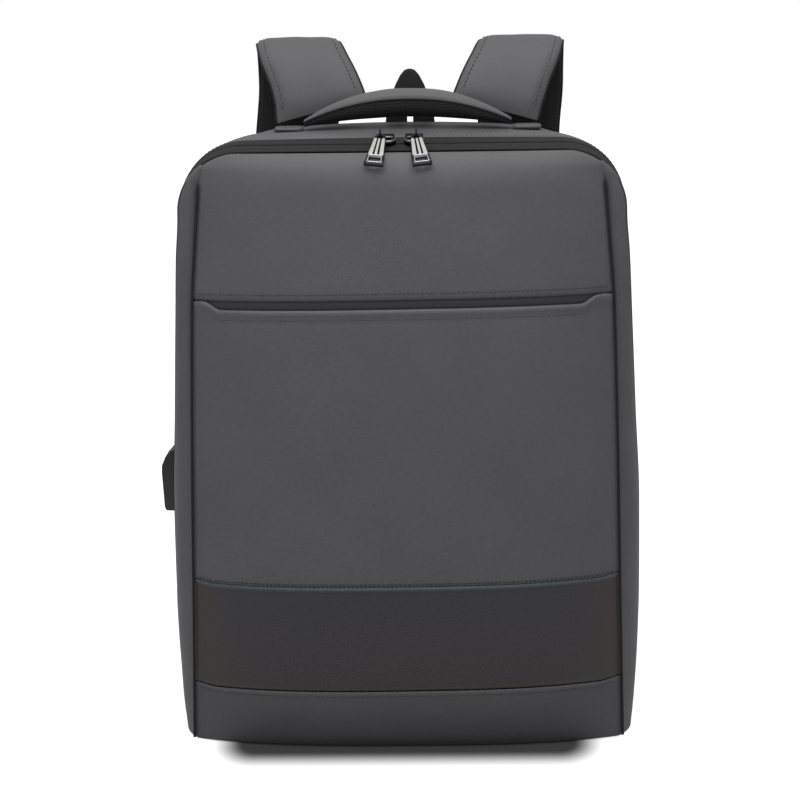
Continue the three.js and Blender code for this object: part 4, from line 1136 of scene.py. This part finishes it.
def centripetal(P, per=14):
    pts = np.concatenate([[2 * P[0] - P[1]], P, [2 * P[-1] - P[-2]]])
    out = []
    for i in range(1, len(pts) - 2):
        p0, p1, p2, p3 = pts[i - 1 : i + 3]
        t0 = 0.0
        t1 = t0 + np.linalg.norm(p1 - p0) ** 0.5
        t2 = t1 + np.linalg.norm(p2 - p1) ** 0.5
        t3 = t2 + np.linalg.norm(p3 - p2) ** 0.5
        for t in np.linspace(t1, t2, per, endpoint=False):
            A1 = (t1 - t) / (t1 - t0) * p0 + (t - t0) / (t1 - t0) * p1
            A2 = (t2 - t) / (t2 - t1) * p1 + (t - t1) / (t2 - t1) * p2
            A3 = (t3 - t) / (t3 - t2) * p2 + (t - t2) / (t3 - t2) * p3
            B1 = (t2 - t) / (t2 - t0) * A1 + (t - t0) / (t2 - t0) * A2
            B2 = (t3 - t) / (t3 - t1) * A2 + (t - t1) / (t3 - t1) * A3
            out.append((t2 - t) / (t2 - t1) * B1 + (t - t1) / (t2 - t1) * B2)
    out.append(P[-1])
    return np.array(out)


raw = centripetal(PATH)
# the width follows the same parameter as in part.mjs: one span of the curve per pair of points
par = np.linspace(0, 1, len(raw))
ln = np.concatenate([[0], np.cumsum(np.linalg.norm(np.diff(raw, axis=0), axis=1))])
NS = 150
tt = np.interp(np.linspace(0, ln[-1], NS), ln, par)
SP = np.stack([np.interp(tt, par, raw[:, i]) for i in range(3)], 1)
SD = np.gradient(SP, axis=0)
SD /= np.linalg.norm(SD, axis=1, keepdims=True)
SA = np.array([1.0, 0, 0]) - SD * SD[:, :1]
SA /= np.linalg.norm(SA, axis=1, keepdims=True)
SN = np.cross(SA, SD)
SW = np.where(tt < 0.16, 33 - 3 * (tt / 0.16), np.where(tt > 0.8, 30 - 8 * ((tt - 0.8) / 0.2), 30))
ANCHOR, TOPW = np.array([133, 46.5, 41.0]), np.array([108.5, 53.5, 121.0])
for side, sg in (("left", -1), ("right", 1)):
    def at(i, a, h):
        v = SP[i] + SA[i] * a + SN[i] * h
        return (sg * v[0] + 1.0 + 3.2 * float(step(v[2], 405, 450)), v[1], v[2])

    def sheet_rings(s_):
        rings = []
        for i in range(NS):
            w = SW[i] - 0.2
            end = min(i, NS - 1 - i)
            squeeze = 1 - 0.55 * math.exp(-end / 2.0)
            ring = []
            for q in np.linspace(-1, 1, 27):
                e = (1 - abs(q)) * w
                h = 4.9 * (1 - abs(q) ** 9) ** 0.5 * (0.80 + 0.20 * (1 - q * q))
                h -= 0.85 * math.exp(-(((e - 5.0) / 1.1) ** 2))
                h += 0.35 * noise.noise((q * 2 + sg * 3, i / 9, s_ * 4.0)) * min(1, e / 8)
                ring.append(at(i, q * w, s_ * (0.15 + max(0.0, h) * squeeze)))
            ring.append(at(i, w * 0.66, s_ * 0.15))
            ring.append(at(i, 0, s_ * 0.15))
            ring.append(at(i, -w * 0.66, s_ * 0.15))
            rings.append(ring)
        return rings

    body = f"shoulder_strap_{side}"
    o = loft(f"strap_outer_{side}", sheet_rings(1), ["shell"], body, [f"strap_cover_{side}"], sharp=60)
    o = loft(f"strap_inner_{side}", sheet_rings(-1), ["mesh"], body, [f"strap_mesh_{side}"], sharp=60)
    for e_, nm in ((-1, "in"), (1, "out")):
        tube(f"strap_edge_{nm}_{side}", [at(i, e_ * (SW[i] - 0.3), 0) for i in range(0, NS)], 0.9, ["binding"], body, sides=8, up=(0, 1, 0.2))
    rws = []
    for e_ in (-1, 1):
        idx = range(3, NS - 3)
        rws.append((np.array([at(i, e_ * (SW[i] - 5.2), 3.55) for i in idx]), np.array([(sg * SN[i][0], SN[i][1], SN[i][2]) for i in idx])))
    stitches(f"stitches_strap_{side}", rws, "thread", body, 3.3, 2.4, 0.32)

    # hardware frame along the lower webbing
    d = (ANCHOR - TOPW) / np.linalg.norm(ANCHOR - TOPW)
    zc = -np.array([sg * d[0], d[1], d[2]])
    xc = np.array([1.0, 0, 0]) - zc * zc[0]
    xc /= np.linalg.norm(xc)
    yc = np.cross(zc, xc)
    L = np.eye(4)
    L[:3, 0], L[:3, 1], L[:3, 2] = xc, yc, zc
    L[:3, 3] = (sg * TOPW[0], TOPW[1] + Y_SHIFT, TOPW[2])
    length = float(np.linalg.norm(ANCHOR - TOPW))

    def ribbon(name, line, w, t, cad):
        """A ribbon of webbing along a line of (y, z), w either side, t thick."""
        p = resample(np.array([(0, y, z) for y, z in line], float), 1.2)
        dd, aa, bb = frames(p, (1, 0, 0))
        cs = np.linspace(-w, w, 13)
        outer = np.array([[p[i] + (c, 0, 0) + aa[i] * t / 2 for c in cs] for i in range(len(p))])
        inner = np.array([[p[i] + (c, 0, 0) - aa[i] * t / 2 for c in cs] for i in range(len(p))])
        o = slab(name, outer, inner, ["web"], body, cad, rim=2)
        co = np.zeros(len(o.data.vertices) * 3)
        o.data.vertices.foreach_get("co", co)
        co = co.reshape(-1, 3) * 1000 - (0, Y_SHIFT, 0)
        co = co @ L[:3, :3].T + L[:3, 3]
        o.data.vertices.foreach_set("co", (co / 1000).ravel())
        o.data.update()
        return o

    ribbon(f"webbing_{side}", [(-2.7, -length), (-2.7, -40), (-2.75, -18.5), (-2.2, -16.0), (-0.8, -15.3), (0.8, -15.3), (2.2, -16.0), (2.95, -18.5), (3.0, -30), (3.3, -52), (3.0, -77)], 12.3, 1.0, [f"strap_webbing_{side}"])
    ribbon(f"lock_loop_{side}", [(2.5, 1.6), (2.5, -6), (2.4, -8.6), (1.4, -9.75), (0, -9.95), (-1.4, -9.75), (-2.4, -8.6), (-2.5, -6), (-2.5, 1.6)], 12.3, 0.95, [f"ladder_loop_{side}"])
    st = [(np.array([(x, 3.75, -75 + 1.6 * k) for x in np.linspace(-11, 11, 9)]), (0, 1, 0)) for k in range(2)]
    stitches(f"stitches_webbing_{side}", st, "thread_black", body, 2.6, 2.0, 0.3, local=L)

    # sewn wing that holds the webbing's lower end
    secs = [(116, 147, BACK_Y + 0.3, 8), (118, 147.5, BACK_Y + 3, 20), (121, 146, BACK_Y + 10, 34)]
    rings = []
    zz = [s_[3] for s_ in secs]
    for z in np.linspace(8.4, 33.8, 16):
        xa, xb, y = (np.interp(z, zz, [s_[k] for s_ in secs]) for k in range(3))
        y = y + 0.15
        ring = []
        for a in np.linspace(0, 2 * math.pi, 28, endpoint=False):
            ca, sa = math.cos(a), math.sin(a)
            rx, ry = (xb - xa) / 2, 1.25
            px = (xa + xb) / 2 + rx * math.copysign(abs(ca) ** 0.28, ca)
            py = y + 1.25 + ry * math.copysign(abs(sa) ** 0.6, sa)
            ring.append((sg * px, py, z))
        rings.append(ring)
    loft(f"anchor_{side}", rings, ["web"], "bag", [f"strap_anchor_{side}"], sharp=70)
    box_ = np.array([(sg * x, float(np.interp(z, zz, [s_[2] for s_ in secs])) + 2.75, z) for x, z in dense(round_rect(122, 143, 12, 29, 1.5, 2), 3)])
    stitches(f"stitches_anchor_{side}", [(np.concatenate([box_, box_[:1]]), (0, 1, -0.5))], "thread", "bag")

# ---------------------------------------------------------------- sliders, links and pull tabs
SLOPE, DIP = math.radians(14.8), math.radians(19.5)


def rot(axis, a):
    m = np.eye(4)
    m[:3, :3] = np.array(Matrix.Rotation(a, 3, axis))
    return m


def move(x, y, z):
    m = np.eye(4)
    m[:3, 3] = (x, y, z)
    return m


def grid_plate(name, cells, thick, mats, body, local):
    pass


for side, sx, x0, lean_deg in (("left", -1, -10.5, -8), ("right", 1, 9, 9)):
    base = move(x0, -58 + Y_SHIFT - 0.22, TOP_ZIP + 0.1) @ rot("X", SLOPE)
    # body: a domed oval ring on the top plate
    ang = np.linspace(0, 2 * math.pi, 48, endpoint=False)
    oval = [(6.0 * math.copysign(abs(math.cos(a)) ** 0.85, math.cos(a)), 4.5 * math.copysign(abs(math.sin(a)) ** 0.85, math.sin(a)), 2.75) for a in ang]
    # the rim is in the lighter copy of the black nickel, a painted highlight
    tube(f"slider_rim_{side}", oval, 1.35, ["ring_highlight"], f"zip_slider_{side}", sides=14, closed=True, local=base)
    lx = -3.6 if sx < 0 else 1.4
    # link: a ring of wire
    ring = [(lx, -1.75 + 3.5 * math.cos(a), 7.1 + 3.5 * math.sin(a)) for a in np.linspace(0, 2 * math.pi, 40, endpoint=False)]
    tube(f"link_{side}_wire", ring, 0.7, ["metal_black"], f"link_{side}", [f"pull_link_{side}"], sides=12, closed=True, up=(1, 0, 0), local=base)
    # tab: bevelled plate with a raised rib, a window and a thick lower edge; the faces round the rib and the window's
    # rim carry painted highlights
    tl = base @ move(lx, -1.75 - 3.5 * math.cos(DIP), 7.1 - 3.5 * math.sin(DIP)) @ rot("X", DIP) @ rot("Z", math.radians(lean_deg))
    bm = bmesh.new()
    ys_ = [2.9, 1.5, 0.0, -1.5, -4.0, -9.0, -15.0, -19.4, -20.2, -23.2, -26.4, -27.3, -29.4]
    hw = lambda y: float(np.interp(-y, [-2.9, -2.4, -1.5, 2, 28.2, 29.4], [2.6, 3.3, 3.8, 4.3, 6.9, 6.5]))
    fr = [-1, -0.86, -0.62, -0.40, -0.14, 0.14, 0.40, 0.62, 0.86, 1]
    verts, faces, fm = [], [], []
    idx = {}

    def top_h(fx, y):
        e = min(1.0, (1 - abs(fx)) * hw(y) / 0.9, (29.4 + y) / 0.8 + 0.15, (2.9 - y) / 0.8 + 0.15)
        rib = 0.55 * math.exp(-((fx / 0.28) ** 2)) * float(step(-y, 2, 5)) * float(1 - step(-y, 17.0, 19.4))
        low = 0.35 * float(step(-y, 26.4, 27.3))
        return 0.62 + 0.5 * max(0, e) ** 0.6 + rib + low

    for j, y in enumerate(ys_):
        for i, f in enumerate(fr):
            wx = f * hw(y)
            if -19.8 >= y >= -26.8 and abs(f) > 0.6 and abs(f) < 0.63:
                wx = math.copysign(np.interp(-y, [20.2, 26.4], [3.9, 4.4]), f)
            if -1.5 <= y <= 1.5 and abs(f) <= 0.4:
                wx *= 1.0
            for lay, s_ in ((0, 1), (1, -1)):
                idx[(j, i, lay)] = len(verts)
                verts.append((wx, y, s_ * (top_h(f, y) if s_ > 0 else 1.05)))
    nj, ni = len(ys_), len(fr)

    def hole(j, i):
        ya, yb = ys_[j], ys_[j + 1]
        window = ya <= -20.2 + 1e-6 and yb >= -26.4 - 1e-6 and 2 <= i <= 6
        eye = ya <= 1.5 + 1e-6 and yb >= -1.5 - 1e-6 and 3 <= i <= 5
        return window or eye

    # front faces of a tab: black nickel, with painted highlight on the faces round the rib
    def tab_mat(y, i):
        if y <= -27.3 or i in (0, 8) or y > -4.0:
            return 1
        if y >= -19.4:
            return 1 if i in (3, 5) else 3
        return 1

    for j in range(nj - 1):
        for i in range(ni - 1):
            if hole(j, i):
                continue
            a, b, c, d = (j, i), (j, i + 1), (j + 1, i + 1), (j + 1, i)
            faces.append(tuple(idx[(*k, 0)] for k in (a, b, c, d)))
            fm.append(tab_mat(ys_[j + 1], i))
            faces.append(tuple(idx[(*k, 1)] for k in (d, c, b, a)))
            fm.append(0)
            for (p, q), (dj, di) in (((a, b), (-1, 0)), ((b, c), (0, 1)), ((c, d), (1, 0)), ((d, a), (0, -1))):
                jj, ii = j + dj, i + di
                open_ = jj < 0 or ii < 0 or jj >= nj - 1 or ii >= ni - 1 or hole(jj, ii)
                if open_:
                    faces.append((idx[(*q, 0)], idx[(*p, 0)], idx[(*p, 1)], idx[(*q, 1)]))
                    # the window's edge faces carry a painted highlight
                    lit_window_edge = 0 <= jj < nj - 1 and 0 <= ii < ni - 1 and ys_[jj] <= -20.1
                    fm.append(2 if lit_window_edge else 1)
    o = make(f"tab_{side}_plate", verts, faces, ["metal", "metal_black", "rim_highlight", "rib_highlight"], f"tab_{side}", [f"pull_tab_{side}"], fm, local=tl, smooth=True, sharp=28)
    bv = o.modifiers.new("b", "BEVEL")
    bv.width, bv.segments, bv.limit_method, bv.angle_limit = 0.00022, 2, "ANGLE", math.radians(35)
    # raised frame round the window, in the painted highlight colour
    wf = [(x, y, 1.32) for x, y in ((-4.3, -19.7), (4.3, -19.7), (4.8, -26.9), (-4.8, -26.9))]
    wl = dense([(x, y) for x, y, _ in wf], 1.0)
    tube(f"tab_{side}_frame", [(x, y, 1.18) for x, y in wl], 0.38, ["rim_highlight"], f"tab_{side}", sides=8, closed=True, local=tl)

# ---------------------------------------------------------------- CAD nodes that keep their shape
def keep(node, mat, width, angle=30):
    o = NODES[node]
    me = o.data
    if len(me.materials) == 0:
        me.materials.append(M[mat])
    for i in range(len(me.materials)):
        me.materials[i] = M[mat]
    for s_ in o.material_slots:
        s_.material = M[mat]
    me.polygons.foreach_set("use_smooth", np.full(len(me.polygons), True))
    me.set_sharp_from_angle(angle=math.radians(angle))
    if width:
        w = o.modifiers.new("w", "WELD")
        w.merge_threshold = 0.00001
        b = o.modifiers.new("b", "BEVEL")
        b.width, b.segments, b.limit_method, b.angle_limit = width * MM, 3, "ANGLE", math.radians(angle)
        b.use_clamp_overlap = True


keep("usb_housing", "plastic", 1.1, 24)
keep("usb_socket_shell", "steel", 0.15)
keep("usb_socket_tongue", "plastic", 0.2)
keep("usb_back_plate", "plastic", 0.3)
for s_ in ("lower", "upper"):
    keep(f"usb_screw_{s_}", "steel", 0.15)
for s_ in ("left", "right"):
    keep(f"slider_{s_}", "metal_black", 0.3)
    keep(f"ladder_lock_{s_}", "plastic", 0.5)
    keep(f"zip_end_stop_{s_}", "metal_black", 0.4)

# ---------------------------------------------------------------- floor, light and camera
def floor():
    bm = bmesh.new()
    n = 12
    pts = [(-6, -6, 0), (6, -6, 0), (6, 6, 0), (-6, 6, 0)]
    vs = [bm.verts.new(p) for p in pts]
    bm.faces.new(vs)
    me = bpy.data.meshes.new("studio_floor")
    bm.to_mesh(me)
    bm.free()
    g = G("floor_white")
    g.coords("xy")
    n = g.noise(g.vec, 0.002, 2.0)
    g.done(g.tint((0.62, 0.62, 0.62), g.range(n, 0.3, 0.7, 0.995, 1.0)), 0.9)
    tree = g.m.node_tree
    seen, glow = tree.nodes.new("ShaderNodeLightPath"), tree.nodes.new("ShaderNodeMath")
    glow.operation = "MULTIPLY"
    tree.links.new(seen.outputs["Is Camera Ray"], glow.inputs[0])
    # the glow fades out beside the bag, and the floor's colour is scaled down there too, a painted contact shadow
    where, away, shadow_ramp = tree.nodes.new("ShaderNodeTexCoord"), tree.nodes.new("ShaderNodeVectorMath"), tree.nodes.new("ShaderNodeMapRange")
    part, both = tree.nodes.new("ShaderNodeSeparateXYZ"), tree.nodes.new("ShaderNodeCombineXYZ")
    tree.links.new(where.outputs["Object"], part.inputs[0])
    for k_, (mid_, half_) in enumerate(((0.0, 0.105), (-0.050, 0.045))):
        v_ = part.outputs[k_]
        for op_, val_ in (("SUBTRACT", mid_), ("ABSOLUTE", 0.0), ("SUBTRACT", half_), ("MAXIMUM", 0.0)):
            m_ = tree.nodes.new("ShaderNodeMath")
            m_.operation = op_
            tree.links.new(v_, m_.inputs[0])
            m_.inputs[1].default_value = val_
            v_ = m_.outputs[0]
        if k_ == 0:
            m_ = tree.nodes.new("ShaderNodeMath")
            m_.operation = "MULTIPLY"
            m_.inputs[1].default_value = 1.6
            tree.links.new(v_, m_.inputs[0])
            v_ = m_.outputs[0]
        tree.links.new(v_, both.inputs[k_])
    away.operation = "LENGTH"
    tree.links.new(both.outputs[0], away.inputs[0])
    shadow_ramp.interpolation_type = "SMOOTHSTEP"
    tree.links.new(away.outputs["Value"], shadow_ramp.inputs[0])
    for k_, v_ in enumerate((0.017, 0.062, 0.02, 1.0)):
        shadow_ramp.inputs[k_ + 1].default_value = v_
    tree.links.new(shadow_ramp.outputs[0], glow.inputs[1])
    shader = next(n_ for n_ in tree.nodes if n_.type == "BSDF_PRINCIPLED")
    shader.inputs["Emission Color"].default_value = (1, 1, 1, 1)
    # painted contact shadow: the floor's colour is scaled down near the bag
    weak, painted_shadow = tree.nodes.new("ShaderNodeMath"), tree.nodes.new("ShaderNodeVectorMath")
    weak.operation, painted_shadow.operation = "MULTIPLY", "SCALE"
    weak.inputs[1].default_value = 0.72
    tree.links.new(glow.outputs[0], weak.inputs[0])
    tree.links.new(weak.outputs[0], shader.inputs["Emission Strength"])
    tree.links.new(shader.inputs["Base Color"].links[0].from_socket, painted_shadow.inputs[0])
    tree.links.new(shadow_ramp.outputs[0], painted_shadow.inputs["Scale"])
    tree.links.new(painted_shadow.outputs[0], shader.inputs["Base Color"])
    me.materials.append(g.m)
    o = bpy.data.objects.new("studio_floor", me)
    o.location.z = -0.0002
    bpy.context.scene.collection.objects.link(o)


floor()
world = bpy.data.worlds.new("studio")
world.use_nodes = True
wt = world.node_tree
wt.nodes.clear()
w_out = wt.nodes.new("ShaderNodeOutputWorld")
w_seen, w_sky = wt.nodes.new("ShaderNodeBackground"), wt.nodes.new("ShaderNodeBackground")
w_seen.inputs[0].default_value, w_seen.inputs[1].default_value = (1, 1, 1, 1), 1.0
w_path, w_mix = wt.nodes.new("ShaderNodeLightPath"), wt.nodes.new("ShaderNodeMixShader")
w_geo, w_sep, w_map = wt.nodes.new("ShaderNodeTexCoord"), wt.nodes.new("ShaderNodeSeparateXYZ"), wt.nodes.new("ShaderNodeMapRange")
wt.links.new(w_geo.outputs["Generated"], w_sep.inputs[0])
wt.links.new(w_sep.outputs["Z"], w_map.inputs[0])
for i_, v_ in enumerate((0.0, 0.9, 0.20, 1.0)):
    w_map.inputs[i_ + 1].default_value = v_
wt.links.new(w_map.outputs[0], w_sky.inputs[1])
w_sky.inputs[0].default_value = (1, 1, 1, 1)
wt.links.new(w_path.outputs["Is Camera Ray"], w_mix.inputs[0])
wt.links.new(w_sky.outputs[0], w_mix.inputs[1])
wt.links.new(w_seen.outputs[0], w_mix.inputs[2])
wt.links.new(w_mix.outputs[0], w_out.inputs[0])
bpy.context.scene.world = world


def area(name, loc, target, size, power, spread=None):
    l = bpy.data.lights.new(name, "AREA")
    l.shape = "RECTANGLE"
    l.size, l.size_y = size
    l.energy = power
    o = bpy.data.objects.new(name, l)
    o.location = loc
    o.rotation_euler = (Vector(target) - Vector(loc)).to_track_quat("-Z", "Y").to_euler()
    bpy.context.scene.collection.objects.link(o)


area("key_top", (0.0, -0.30, 1.15), (0, -0.02, 0.42), (0.9, 0.5), 3.8)
area("wash_front", (0.0, -0.40, 0.72), (0, -0.09, 0.34), (0.5, 0.16), 0.9)
area("fill_left", (-1.8, -0.9, 0.9), (0, 0, 0.25), (1.0, 1.4), 2.5)

AZ, EL, DIST, TARGET, ROLL = math.radians(1.5), math.radians(10.8), 1.750, Vector((-0.0037, -0.040, 0.2343)), math.radians(-0.8)
backv = Vector((math.sin(AZ) * math.cos(EL), -math.cos(AZ) * math.cos(EL), math.sin(EL)))
right = (-backv).cross(Vector((0, 0, 1))).normalized()
upv = right.cross(-backv)
r2 = math.cos(ROLL) * right + math.sin(ROLL) * upv
u2 = -math.sin(ROLL) * right + math.cos(ROLL) * upv
cam = bpy.data.cameras.new("camera")
cam.lens, cam.sensor_width = 111.7, 36.0
cam.clip_start, cam.clip_end = 0.05, 30
co = bpy.data.objects.new("camera", cam)
mt = Matrix.Identity(4)
for i in range(3):
    mt[i][0], mt[i][1], mt[i][2] = r2[i], u2[i], backv[i]
    mt[i][3] = (TARGET + backv * DIST)[i]
co.matrix_world = mt
bpy.context.scene.collection.objects.link(co)
bpy.context.scene.camera = co
bpy.context.scene.view_settings.view_transform = "Standard"
